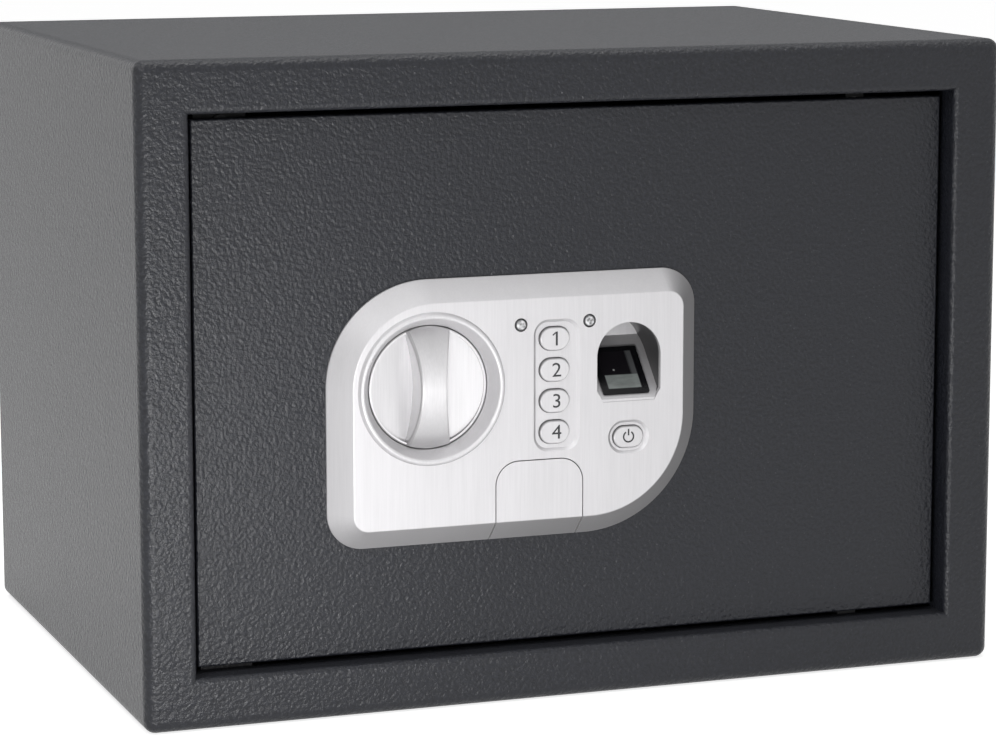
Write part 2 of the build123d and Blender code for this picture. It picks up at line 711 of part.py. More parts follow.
def keypad_outline():
    """Outline of the keypad board: a column under the keys and arms to the lamps and power key."""
    column = rect((CHANNEL_X[0] - 1.8, CHANNEL_X[1] + 2.3), (96.5, 150.0))
    lamps = rect((LED_PLACES[0][0] - 3.7, LED_PLACES[1][0] + 2.7), (143.0, 150.5))
    power = rect((CHANNEL_X[1], POWER_KEY[0] + 9.2), (96.5, 107.0))
    return column + lamps + power


def keypad_board():
    """Circuit board behind the keys."""
    return from_front(keypad_outline(), KEYPAD_BOARD_BACK - BOARD_SHEET + 0.2, KEYPAD_BOARD_BACK)


def keypad_membrane():
    """Rubber mat with the key contacts, lying on the keypad board."""
    mat_back = KEYPAD_BOARD_BACK - BOARD_SHEET + 0.2
    outline = rect(CHANNEL_X, (98.0, 149.0)) + rect((CHANNEL_X[1], 25.0), (97.0, 106.5))
    return from_front(outline, mat_back - 0.9, mat_back)


# ================================================================ electronics behind the door
def board_standoffs():
    """Short posts under the keypad board and the control board."""
    posts = Part()
    for x, z in ((-28.5, 146.7), (-12.0, 99.5), (22.0, 100.0)):
        posts += rod_y(x, z, 2.5, KEYPAD_BOARD_BACK, DOOR_FRONT)
    for x in (CONTROL_X[0] + 5, CONTROL_X[1] - 5):
        for z in (CONTROL_Z[0] + 5, CONTROL_Z[1] - 5):
            posts += rod_y(x, z, 2.5, DOOR_BACK, CONTROL_FRONT)
    return posts


def control_board():
    """Main circuit board with its larger components."""
    back = CONTROL_FRONT + BOARD_SHEET
    board = block(CONTROL_X, (CONTROL_FRONT, back), CONTROL_Z)
    board += block((RESET_X - 3, RESET_X + 3), (back, back + 3.3), (RESET_Z - 3, RESET_Z + 3))
    board += block((60, 72), (back, SOCKET_BACK), (125, 137))
    board += block((44, 60), (back, back + 2.2), (150, 166))
    board += block((70, 84), (back, back + 2.2), (160, 182))
    board += rod_y(80, 148, 4.0, back, back + 8)
    board += rod_y(52, 182, 7.0, back, back + 5)
    return board


def battery_lead():
    """Lead from the battery box to the control board's socket."""
    start = (LEAD_X, LEAD_Y, BATTERY_Z[1])
    turn = (LEAD_X, LEAD_Y, LEAD_TURN_Z)
    path = FilletPolyline(start, turn, (LEAD_X, SOCKET_BACK, LEAD_TURN_Z), radius=LEAD_BEND)
    return sweep(Plane(origin=start, z_dir=(0, 0, 1)) * Circle(LEAD_R), path=path)


def battery_box():
    """Open box for four cells, let into the inner cover from behind."""
    box = block(BATTERY_X, (BATTERY_FRONT, COVER_BACK), BATTERY_Z)
    flange_x = (BATTERY_X[0] - 2, BATTERY_X[1] + 2)
    flange_z = (BATTERY_Z[0] - 2, BATTERY_Z[1] + 2)
    box += block(flange_x, (COVER_BACK, COVER_BACK + 1), flange_z)
    return box - block(
        (BATTERY_X[0] + BATTERY_WALL + 0.2, BATTERY_X[1] - BATTERY_WALL - 0.2),
        (BATTERY_FRONT + BATTERY_WALL, COVER_BACK + 2),
        (BATTERY_Z[0] + BATTERY_WALL, BATTERY_Z[1] - BATTERY_WALL),
    )


def cell_heights():
    """Centre heights of the four cells."""
    middle = sum(BATTERY_Z) / 2
    return [middle + (i - 1.5) * CELL_PITCH for i in range(4)]


def cell_depth():
    """Centre depth of the cells, which lie on the floor of their box."""
    return BATTERY_FRONT + BATTERY_WALL + CELL_R + 0.05


def cell_limits(index):
    """Ends of one cell along X; alternate cells face the other way."""
    nub_low = CELL_NUB if index % 2 else 0
    return (CELL_X[0] - nub_low, CELL_X[1] + CELL_NUB - nub_low)


def batteries():
    """Four round cells, laid head to tail."""
    cells = Part()
    for index, z in enumerate(cell_heights()):
        body = rod_x(cell_depth(), z, CELL_R, *CELL_X)
        body = fillet(body.edges(), 0.8)
        cells += body + rod_x(cell_depth(), z, 2.7, *cell_limits(index))
    return cells


def battery_contacts():
    """Contact cones between the box's end walls and the cells."""
    walls = (BATTERY_X[0] + BATTERY_WALL + 0.2, BATTERY_X[1] - BATTERY_WALL - 0.2)
    contacts = Part()
    for index, z in enumerate(cell_heights()):
        low, high = cell_limits(index)
        left = Cone(4.5, 2.2, low - walls[0], align=(Align.CENTER, Align.CENTER, Align.MIN))
        right = Cone(2.2, 4.5, walls[1] - high, align=(Align.CENTER, Align.CENTER, Align.MIN))
        contacts += Pos(walls[0], cell_depth(), z) * Rot(0, 90, 0) * left
        contacts += Pos(high, cell_depth(), z) * Rot(0, 90, 0) * right
    return contacts


def battery_lid():
    """Pull-off lid of the battery box, with a thumb ridge."""
    x = (BATTERY_X[0] - 2, BATTERY_X[1] + 2)
    z = (BATTERY_Z[0] - 2, BATTERY_Z[1] + 2)
    front = COVER_BACK + 1.0
    lid = from_front(rounded_rect(x, z, 2.5), front, front + 2)
    lid = fillet(lid.edges().group_by(Axis.Y)[-1], 0.8)
    middle = sum(x) / 2
    for step in range(4):
        ridge_z = z[1] - 8 - 2.6 * step
        lid += block((middle - 11, middle + 11), (front + 1, front + 2.8), (ridge_z - 0.6, ridge_z + 0.6))
    return lid


def reset_button():
    """Button on the inner cover that reaches down to the control board's switch."""
    cap_back = COVER_BACK + 0.9
    button = rod_y(RESET_X, RESET_Z, 2.9, COVER_BACK - 4, cap_back)
    button = fillet(button.edges().group_by(Axis.Y)[-1], 0.5)
    button += rod_y(RESET_X, RESET_Z, 4.2, COVER_BACK - 4, COVER_BACK - 3)
    switch = CONTROL_FRONT + BOARD_SHEET + 3.3
    return button + rod_y(RESET_X, RESET_Z, 1.5, switch + RESET_TRAVEL + 0.2, COVER_BACK - 4)


# ================================================================ knob and crank
def grip_outline():
    """Waisted bar across the knob, bounded by two hollow arcs and the knob's rim."""
    ends = sqrt(GRIP_END**2 + GRIP_LENGTH**2)
    signs = ((1, -1), (1, 1), (-1, 1), (-1, -1))
    corners = [(KNOB_X + sx * GRIP_END, KNOB_Z + sz * GRIP_LENGTH) for sx, sz in signs]
    right = ThreePointArc(corners[0], (KNOB_X + GRIP_WAIST, KNOB_Z), corners[1])
    top = ThreePointArc(corners[1], (KNOB_X, KNOB_Z + ends), corners[2])
    left = ThreePointArc(corners[2], (KNOB_X - GRIP_WAIST, KNOB_Z), corners[3])
    low = ThreePointArc(corners[3], (KNOB_X, KNOB_Z - ends), corners[0])
    return make_face(right + top + left + low)


def knob_scoop(side):
    """Space of the finger scoop on one side of the grip; its floor falls towards the grip."""
    half_disc = Pos(KNOB_X, KNOB_Z) * Circle(SCOOP_R) - grip_outline()
    half_disc &= Pos(KNOB_X + side * SCOOP_R, KNOB_Z) * Rectangle(2 * SCOOP_R, 3 * SCOOP_R)
    scoop = from_front(half_disc, KNOB_RIM - 1, KNOB_FOOT)
    outer = KNOB_X + side * SCOOP_R
    inner = KNOB_X + side * (GRIP_WAIST - 1)
    slope = Polyline(
        (outer, KNOB_RIM + 0.6),
        (inner, KNOB_RIM + SCOOP_DEPTH),
        (inner, KNOB_RIM - 2),
        (outer, KNOB_RIM - 2),
        close=True,
    )
    wedge = extrude(Plane.XY.offset(KNOB_Z - KNOB_R) * make_face(slope), 2 * KNOB_R)
    return scoop & wedge


def knob():
    """Turning knob: a disc with a high arched grip and a scoop on each side."""
    disc = rod_y(KNOB_X, KNOB_Z, KNOB_R, KNOB_RIM, KNOB_FOOT)
    disc = fillet(edges_at_front(disc), 0.6)
    disc -= knob_scoop(-1)
    disc -= knob_scoop(1)
    bar = from_front(grip_outline(), GRIP_CROWN - 1, KNOB_FOOT)
    bar &= rod_x(GRIP_CROWN + GRIP_ARCH_R, KNOB_Z, GRIP_ARCH_R, KNOB_X - KNOB_R, KNOB_X + KNOB_R)
    crown = bar.edges().filter_by(lambda edge: edge.center().Y < KNOB_RIM - 1)
    bar = fillet(crown, 1.0)
    body = disc + bar
    return body - rod_y(KNOB_X, KNOB_Z, SHAFT_FRONT_R + 0.05, -124.2, KNOB_FOOT + 1)


def knob_shaft():
    """Stepped shaft: a pin in the knob, a journal in the bush and a square for the crank."""
    shaft = rod_y(KNOB_X, KNOB_Z, SHAFT_FRONT_R, -124.0, KNOB_FOOT + 0.1)
    shaft += rod_y(KNOB_X, KNOB_Z, SHAFT_R, KNOB_FOOT + 0.1, DISC_FRONT)
    shaft += square_y(KNOB_X, KNOB_Z, SHAFT_SQUARE, DISC_FRONT, DISC_BACK)
    return shaft - rod_y(KNOB_X, KNOB_Z, 2.05, DISC_BACK - 8, DISC_BACK + 1)


def crank_disc():
    """Disc on the shaft's square end, with the crank pin that moves the bolts."""
    plate = rod_y(KNOB_X, KNOB_Z, DISC_R, DISC_FRONT, DISC_BACK)
    plate -= square_y(KNOB_X, KNOB_Z, SHAFT_SQUARE, DISC_FRONT - 1, DISC_BACK + 1)
    pin = rod_y(*disc_point(CRANK_R, CRANK_ANGLE), CRANK_PIN_R, DOOR_BACK + 0.2, DISC_FRONT + 1)
    return plate + pin


def stop_lobe():
    """Segment brazed to the disc's rim, which meets the raised plunger."""
    start, crest_end, foot_end = LOBE_ANGLES
    lobe = ThreePointArc(
        disc_point(LOBE_R, start),
        disc_point(LOBE_R, (start + crest_end) / 2),
        disc_point(LOBE_R, crest_end),
    )
    lobe += Polyline(
        disc_point(LOBE_R, crest_end),
        disc_point(DISC_R, foot_end),
        (KNOB_X, KNOB_Z),
        disc_point(LOBE_R, start),
    )
    sector = from_front(make_face(lobe), DISC_FRONT, DISC_BACK)
    return sector - rod_y(KNOB_X, KNOB_Z, DISC_R, DISC_FRONT - 1, DISC_BACK + 1)


def crank_screw():
    """Screw that holds the crank disc on the shaft."""
    screw = rod_y(KNOB_X, KNOB_Z, 5.5, DISC_BACK, DISC_BACK + 2.4)
    return screw + rod_y(KNOB_X, KNOB_Z, 2.0, DISC_BACK - 7, DISC_BACK)


# ================================================================ boltwork
def bolt_carrier():
    """Sliding plate that the crank pin drives, with an upturned end for the bolts."""
    web = rect(CARRIER_X, CARRIER_Z)
    half_travel = BOLT_TRAVEL / 2
    shaft_slot = SHAFT_R + 0.4
    web -= slot_outline(KNOB_X + half_travel, KNOB_Z, BOLT_TRAVEL + 2 * shaft_slot, 2 * shaft_slot)
    for x in GUIDE_POST_X:
        slot = GUIDE_SHOULDER_R + 0.3
        web -= slot_outline(x + half_travel, KNOB_Z, BOLT_TRAVEL + 2 * slot, 2 * slot)
    pin_x, pin_low = disc_point(CRANK_R, CRANK_ANGLE)
    pin_high = KNOB_Z + CRANK_R
    pin_slot = CRANK_PIN_R + 0.4
    length = pin_high - pin_low + 2 * pin_slot + 0.6
    web -= Pos(pin_x, (pin_low + pin_high) / 2) * SlotOverall(length, 2 * pin_slot, rotation=90)
    carrier = from_front(web, CARRIER_FRONT, CARRIER_FRONT + CARRIER_SHEET)
    end = (CARRIER_X[0], CARRIER_X[0] + CARRIER_SHEET)
    carrier += block(end, (CARRIER_FRONT, CARRIER_END_BACK), CARRIER_END_Z)
    for z in BOLT_HEIGHTS:
        carrier -= rod_x(BOLT_Y, z, 2.6, end[0] - 1, end[1] + 1)
    return carrier


def bolt(z):
    """Round steel bolt with a chamfered nose, bored for its screw."""
    bar = rod_x(BOLT_Y, z, BOLT_R, BOLT_TIP, CARRIER_X[0])
    bar = chamfer(bar.edges().sort_by(Axis.X)[0], 1.0)
    return bar - rod_x(BOLT_Y, z, 2.55, CARRIER_X[0] - 13, CARRIER_X[0] + 1)


def bolt_screws():
    """Screws that hold the bolts to the carrier."""
    screws = Part()
    seat = CARRIER_X[0] + CARRIER_SHEET
    for z in BOLT_HEIGHTS:
        screws += rod_x(BOLT_Y, z, 2.5, CARRIER_X[0] - 12, seat) + rod_x(BOLT_Y, z, 4.5, seat, seat + 3)
    return screws


# ================================================================ solenoid
def solenoid_frame():
    """Bent steel frame round the coil."""
    x = (SOLENOID_X - 10, SOLENOID_X + 10)
    frame = block(x, (DOOR_BACK, DOOR_BACK + 19), SOLENOID_Z)
    inside = (SOLENOID_Z[0] + SHEET, SOLENOID_Z[1] - SHEET)
    frame -= block((x[0] - 1, x[1] + 1), (DOOR_BACK + SHEET, DOOR_BACK + 20), inside)
    bore = PLUNGER_R + PLUNGER_RUNNING
    return frame - rod_z(SOLENOID_X, SOLENOID_Y, bore, inside[0] + 1, SOLENOID_Z[1] + 1)


def solenoid_coil():
    """Wound coil on its bobbin."""
    inside = (SOLENOID_Z[0] + SHEET, SOLENOID_Z[1] - SHEET)
    coil = rod_z(SOLENOID_X, SOLENOID_Y, 6.4, *inside)
    coil += rod_z(SOLENOID_X, SOLENOID_Y, 7.2, inside[0], inside[0] + 1.5)
    coil += rod_z(SOLENOID_X, SOLENOID_Y, 7.2, inside[1] - 1.5, inside[1])
    return coil - rod_z(SOLENOID_X, SOLENOID_Y, PLUNGER_R + PLUNGER_RUNNING, inside[0] - 1, inside[1] + 1)


def solenoid_plunger():
    """Plunger that rises beside the lobe to block the knob, necked for the release plate."""
    plunger = rod_z(SOLENOID_X, SOLENOID_Y, PLUNGER_R, PLUNGER_Z[0], PLATE_Z[0])
    plunger += rod_z(SOLENOID_X, SOLENOID_Y, PLATE_NECK_R, *PLATE_Z)
    upper = rod_z(SOLENOID_X, SOLENOID_Y, PLUNGER_R, PLATE_Z[1], PLUNGER_Z[1])
    return plunger + chamfer(upper.edges().sort_by(Axis.Z)[-1], 0.5)


def release_plate():
    """Plate in the plunger's neck, which the override cam presses down."""
    plate = block((SOLENOID_X - 5, SOLENOID_X + 27), (SOLENOID_Y - 4.2, SOLENOID_Y + 4.3), PLATE_Z)
    return plate - rod_z(SOLENOID_X, SOLENOID_Y, PLATE_NECK_R + 0.05, PLATE_Z[0] - 1, PLATE_Z[1] + 1)


def plunger_spring():
    """Coil spring between the solenoid's frame and the release plate."""
    height = PLATE_Z[0] - SOLENOID_Z[1] - 2 * SPRING_WIRE_R
    path = Pos(SOLENOID_X, SOLENOID_Y, SOLENOID_Z[1] + SPRING_WIRE_R) * Helix(height / 4, height, SPRING_R)
    return sweep(Plane(path @ 0, z_dir=path % 0) * Circle(SPRING_WIRE_R), path=path, is_frenet=True)


# ================================================================ override lock
def override_barrel():
    """Lock barrel with a flange in front of the door."""
    barrel = rod_y(LOCK_X, LOCK_Z, BARREL_R, BARREL_FRONT, BARREL_BACK)
    barrel += rod_y(LOCK_X, LOCK_Z, BARREL_R + 2.5, DOOR_FRONT - 1.2, DOOR_FRONT)
    return barrel - rod_y(LOCK_X, LOCK_Z, PLUG_R + PLUG_RUNNING, BARREL_FRONT - 1, BARREL_BACK + 1)


def override_nut():
    """Hexagon nut that clamps the barrel to the door."""
    outline = Pos(LOCK_X, LOCK_Z) * RegularPolygon(13.5, 6)
    nut = from_front(outline, DOOR_BACK, DOOR_BACK + 4.5)
    return nut - rod_y(LOCK_X, LOCK_Z, BARREL_R + 0.05, DOOR_BACK - 1, DOOR_BACK + 6)


def override_plug():
    """Turning plug with the key slot."""
    plug = rod_y(LOCK_X, LOCK_Z, PLUG_R, BARREL_FRONT + 0.2, BARREL_BACK + 1)
    plug -= from_front(Pos(LOCK_X, LOCK_Z) * Rectangle(1.8, 7.5), BARREL_FRONT, BARREL_FRONT + 12)
    return plug - rod_y(LOCK_X, LOCK_Z, 1.55, BARREL_BACK - 4, BARREL_BACK + 2)


def override_cam():
    """Arm on the plug that swings down onto the release plate."""
    back = BARREL_BACK + 3
    arm = Pos(LOCK_X, LOCK_Z) * Circle(7.0)
    arm += rect((LOCK_X - CAM_HALF_WIDTH, LOCK_X + CAM_HALF_WIDTH), (LOCK_Z, LOCK_Z + CAM_LENGTH))
    cam = from_front(arm, BARREL_BACK + 1, back)
    return cam - rod_y(LOCK_X, LOCK_Z, 1.6, BARREL_BACK, back + 1)


def cam_screw():
    """Screw that holds the cam on the plug."""
    back = BARREL_BACK + 3
    return rod_y(LOCK_X, LOCK_Z, 1.5, BARREL_BACK - 3, back) + rod_y(LOCK_X, LOCK_Z, 3.5, back, back + 2.2)


# ================================================================ all nodes
def all_nodes():
    """Every node of the assembly, by name."""
    brackets = hinge_brackets()
    nodes = {
        "cabinet_shell": cabinet_shell(),
        "back_panel": back_panel(),
        "floor_mat": floor_mat(),
        "hinge_bracket_lower": hinge_bracket(brackets["lower"]),
        "hinge_bracket_upper": hinge_bracket(brackets["upper"]),
        "hinge_bushes": hinge_bushes(),
        "door_stops": door_stops(),
        "stop_bumpers": stop_bumpers(),
        "door_plate": door_plate(),
        "hinge_knuckles": hinge_knuckles(),
        "hinge_pin_lower": hinge_pin(False),
        "hinge_pin_upper": hinge_pin(True),
        "inner_cover": inner_cover(),
        "cover_posts": cover_posts(),
        "cover_screws": cover_screws(),
        "bolt_guide": bolt_guide(),
        "guide_screws": guide_screws(),
        "knob_bush": knob_bush(),
        "lock_panel": lock_panel(),
        "panel_screws": panel_screws(),
        "led_lenses": led_lenses(),
        "finger_guide": finger_guide(),
        "sensor_bezel": sensor_bezel(),
        "sensor_window": sensor_window(),
        "sensor_module": sensor_module(),
        "keypad_board": keypad_board(),
        "keypad_membrane": keypad_membrane(),
        "board_standoffs": board_standoffs(),
        "control_board": control_board(),
        "battery_lead": battery_lead(),
        "battery_box": battery_box(),
        "batteries": batteries(),
        "battery_contacts": battery_contacts(),
        "solenoid_frame": solenoid_frame(),
        "solenoid_coil": solenoid_coil(),
        "plunger_spring": plunger_spring(),
        "override_barrel": override_barrel(),
        "override_nut": override_nut(),
        "knob": knob(),
        "knob_shaft": knob_shaft(),
        "crank_disc": crank_disc(),
        "stop_lobe": stop_lobe(),
        "crank_screw": crank_screw(),
        "bolt_carrier": bolt_carrier(),
        "bolt_lower": bolt(BOLT_HEIGHTS[0]),
        "bolt_upper": bolt(BOLT_HEIGHTS[1]),
        "bolt_screws": bolt_screws(),
        "solenoid_plunger": solenoid_plunger(),
        "release_plate": release_plate(),
        "override_plug": override_plug(),
        "override_cam": override_cam(),
        "cam_screw": cam_screw(),
        "key_cover": key_cover(),
        "battery_lid": battery_lid(),
        "reset_button": reset_button(),
    }
    for name, (x, z, width, height) in key_places().items():
        nodes[name] = key(x, z, width, height)
    return nodes


os.makedirs("parts", exist_ok=True)
for node, shape in all_nodes().items():
    export_step(shape, f"parts/{node}.step")
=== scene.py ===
"""Looks of the small electronic safe: finishes, printed marks, felt floor, studio and camera."""
import logging
import math
from dataclasses import dataclass
from enum import Enum

import bpy
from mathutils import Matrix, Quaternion, Vector


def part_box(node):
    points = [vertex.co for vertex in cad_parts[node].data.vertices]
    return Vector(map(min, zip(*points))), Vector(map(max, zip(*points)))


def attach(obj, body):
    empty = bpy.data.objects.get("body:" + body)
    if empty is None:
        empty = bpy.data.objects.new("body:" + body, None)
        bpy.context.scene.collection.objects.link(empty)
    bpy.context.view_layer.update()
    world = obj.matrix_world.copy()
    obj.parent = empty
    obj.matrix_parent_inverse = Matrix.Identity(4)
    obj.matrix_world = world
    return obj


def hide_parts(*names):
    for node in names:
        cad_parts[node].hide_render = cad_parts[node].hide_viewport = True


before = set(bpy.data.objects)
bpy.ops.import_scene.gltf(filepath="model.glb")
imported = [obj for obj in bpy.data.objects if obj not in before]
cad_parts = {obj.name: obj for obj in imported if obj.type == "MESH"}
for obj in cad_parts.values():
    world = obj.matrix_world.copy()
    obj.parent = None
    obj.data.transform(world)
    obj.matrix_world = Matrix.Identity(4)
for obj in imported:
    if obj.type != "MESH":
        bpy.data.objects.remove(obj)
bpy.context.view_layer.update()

log = logging.getLogger("safe")

MM = 0.001
Colour = tuple[float, float, float]
Triple = tuple[float, float, float]
WHITE: Colour = (1.0, 1.0, 1.0)
EVEN: Triple = (1.0, 1.0, 1.0)
# Parts of a noise's range that carry most of it, from narrow to wide.
BAND = (0.35, 0.65)
WIDE = (0.3, 0.7)
SMOOTH_BELOW = math.radians(40)


# ------------------------------------------------------------------ shader maths
class Signal:
    """A shader socket that takes part in Python arithmetic."""

    def __init__(self, graph: "Graph", socket: bpy.types.NodeSocket) -> None:
        """Wraps a socket.

        Args:
            graph: the material graph that the socket belongs to.
            socket: the output socket that carries the value.
        """
        self.graph = graph
        self.socket = socket

    def __add__(self, other: "Signal | float") -> "Signal":
        """Sum of two signals."""
        return self.graph.math("ADD", self, other)

    def __radd__(self, other: float) -> "Signal":
        """Sum with a plain number on the left."""
        return self.graph.math("ADD", other, self)

    def __sub__(self, other: "Signal | float") -> "Signal":
        """Difference of two signals."""
        return self.graph.math("SUBTRACT", self, other)

    def __rsub__(self, other: float) -> "Signal":
        """Difference with a plain number on the left."""
        return self.graph.math("SUBTRACT", other, self)

    def __mul__(self, other: "Signal | float") -> "Signal":
        """Product of two signals."""
        return self.graph.math("MULTIPLY", self, other)

    def __rmul__(self, other: float) -> "Signal":
        """Product with a plain number on the left."""
        return self.graph.math("MULTIPLY", other, self)

    def over(self, low: float) -> "Signal":
        """The larger of the signal and a limit."""
        return self.graph.math("MAXIMUM", self, low)

    def above(self, limit: float) -> "Signal":
        """One where the signal is over a limit, and zero elsewhere."""
        return self.graph.math("GREATER_THAN", self, limit)


class Graph:
    """The node tree of one material or world."""

    def __init__(self, owner: bpy.types.Material | bpy.types.World) -> None:
        """Empties the owner's tree.

        Args:
            owner: the new material or world.
        """
        self.owner = owner
        self.owner.use_nodes = True
        self.tree = owner.node_tree
        self.tree.nodes.clear()

    def node(self, kind: str, settings: dict | None = None, sockets: dict | None = None) -> bpy.types.Node:
        """Adds a node.

        Args:
            kind: Blender's type name for the node.
            settings: the node's own settings.
            sockets: values or signals for its input sockets, by name or index.

        Returns:
            The new node.
        """
        made = self.tree.nodes.new(kind)
        for key, value in (settings or {}).items():
            setattr(made, key, value)
        for key, value in (sockets or {}).items():
            target = made.inputs[key]
            if isinstance(value, Signal):
                self.tree.links.new(value.socket, target)
            elif isinstance(value, tuple) and target.type == "RGBA":
                target.default_value = (*value, 1.0)
            else:
                target.default_value = value
        return made

    def out(
        self, kind: str, settings: dict | None = None, sockets: dict | None = None, output: str | int = 0
    ) -> Signal:
        """Adds a node and returns one of its outputs as a signal.

        Args:
            kind: Blender's type name for the node.
            settings: the node's own settings.
            sockets: values or signals for its input sockets.
            output: name or index of the output wanted.

        Returns:
            The output as a signal.
        """
        return Signal(self, self.node(kind, settings, sockets).outputs[output])

    def math(self, operation: str, first: "Signal | float", second: "Signal | float") -> Signal:
        """One Math node.

        Args:
            operation: the node's operation.
            first: its first value.
            second: its second value.

        Returns:
            The result.
        """
        return self.out("ShaderNodeMath", {"operation": operation}, {0: first, 1: second})

    def place(self, stretch: Triple = EVEN) -> Signal:
        """Object coordinates, stretched along the axes.

        Args:
            stretch: factors for X, Y and Z.

        Returns:
            The coordinates as a vector signal.
        """
        coordinates = self.out("ShaderNodeTexCoord", output="Object")
        if stretch == EVEN:
            return coordinates
        return self.out("ShaderNodeMapping", None, {"Vector": coordinates, "Scale": stretch})

    def noise(self, size: float, detail: float = 2.0, stretch: Triple = EVEN) -> Signal:
        """Noise of about one for each blob's size.

        Args:
            size: blob size in metres.
            detail: octaves of finer noise.
            stretch: factors for X, Y and Z.

        Returns:
            A signal from 0 to 1.
        """
        sockets = {"Vector": self.place(stretch), "Scale": 1.0 / size, "Detail": detail}
        return self.out("ShaderNodeTexNoise", None, sockets, "Fac")

    def cells(self, size: float, feature: str = "F1", output: str = "Distance") -> Signal:
        """Cell pattern.

        Args:
            size: cell size in metres.
            feature: the Voronoi feature.
            output: name of the output wanted.

        Returns:
            The pattern's signal.
        """
        sockets = {"Vector": self.place(), "Scale": 1.0 / size}
        return self.out("ShaderNodeTexVoronoi", {"feature": feature}, sockets, output)

    def spread(self, value: Signal, low: float, high: float, dark: float = 0.0, light: float = 1.0) -> Signal:
        """Spreads a range of a signal over another range, with both ends held.

        Args:
            value: the signal.
            low: its value that becomes dark.
            high: its value that becomes light.
            dark: result at low.
            light: result at high.

        Returns:
            The spread signal.
        """
        sockets = {"Value": value, "From Min": low, "From Max": high, "To Min": dark, "To Max": light}
        return self.out("ShaderNodeMapRange", {"clamp": True}, sockets)

    def blend(self, amount: "Signal | float", first: "Colour | Signal", second: "Colour | Signal") -> Signal:
        """Mix of two colours.

        Args:
            amount: share of the second colour.
            first: the colour at 0.
            second: the colour at 1.

        Returns:
            The mixed colour.
        """
        made = self.node("ShaderNodeMix", {"data_type": "RGBA"}, {0: amount})
        for index, colour in ((6, first), (7, second)):
            if isinstance(colour, Signal):
                self.tree.links.new(colour.socket, made.inputs[index])
            else:
                made.inputs[index].default_value = (*colour, 1.0)
        return Signal(self, made.outputs[2])

    def mottle(
        self, pattern: Signal, colour: Colour, dark: float, light: float, band: tuple[float, float] = BAND
    ) -> Signal:
        """One colour in two shades that follow a pattern.

        Args:
            pattern: the pattern's signal.
            colour: the colour in the middle.
            dark: factor of the darker shade.
            light: factor of the lighter shade.
            band: range of the pattern over which the shades change.

        Returns:
            The colour.
        """
        return self.blend(self.spread(pattern, *band), shade(colour, dark), shade(colour, light))

    def facing(self) -> tuple[Signal, Signal, Signal]:
        """Parts of the piece's own outward normal along X, Y and Z."""
        normal = self.out("ShaderNodeTexCoord", output="Normal")
        split = self.node("ShaderNodeSeparateXYZ", None, {0: normal})
        return tuple(Signal(self, output) for output in split.outputs)

    def reach(self, centre: Triple) -> Signal:
        """Distance from a point.

        Args:
            centre: the point, in metres.

        Returns:
            The distance in metres.
        """
        sockets = {0: self.place(), 1: centre}
        return self.out("ShaderNodeVectorMath", {"operation": "DISTANCE"}, sockets, "Value")

    def bump(self, height: Signal, depth: float, strength: float = 1.0) -> Signal:
        """Surface relief.

        Args:
            height: the relief from 0 to 1.
            depth: its depth in metres.
            strength: share of the relief that shows.

        Returns:
            The bent normal.
        """
        sockets = {"Strength": strength, "Distance": depth, "Height": height}
        return self.out("ShaderNodeBump", None, sockets, "Normal")

    def finish(self, **sockets: "Signal | float | Colour") -> bpy.types.Material:
        """Ends the graph in a Principled shader.

        Args:
            **sockets: values or signals by socket name, with underscores for spaces.

        Returns:
            The finished material.
        """
        named = {key.replace("_", " "): value for key, value in sockets.items()}
        shader = self.out("ShaderNodeBsdfPrincipled", None, named)
        self.node("ShaderNodeOutputMaterial", None, {"Surface": shader})
        return self.owner


def new_graph(name: str) -> Graph:
    """An empty material's graph.

    Args:
        name: the material's name.

    Returns:
        The graph.
    """
    return Graph(bpy.data.materials.new(name))


def shade(colour: Colour, factor: float) -> Colour:
    """A colour made darker or lighter.

    Args:
        colour: linear red, green and blue.
        factor: what each is multiplied by.

    Returns:
        The new colour, held within 0 to 1.
    """
    return tuple(min(1.0, part * factor) for part in colour)


# ------------------------------------------------------------------ finishes
class Finish:
    """Base of all finishes: makes its material once and dresses pieces in it."""

    def make(self) -> bpy.types.Material:
        """Builds the finish's material."""
        raise NotImplementedError

    def material(self) -> bpy.types.Material:
        """The finish's material, made on first use."""
        key = repr(self)
        if key not in _MADE:
            _MADE[key] = self.make()
        return _MADE[key]

    def dress(self, *pieces: bpy.types.Object) -> None:
        """Gives pieces this finish alone.

        Args:
            *pieces: the mesh objects to dress.
        """
        for piece in pieces:
            piece.data.materials.clear()
            piece.data.materials.append(self.material())
            piece.data.polygons.foreach_set("material_index", [0] * len(piece.data.polygons))


_MADE: dict[str, bpy.types.Material] = {}


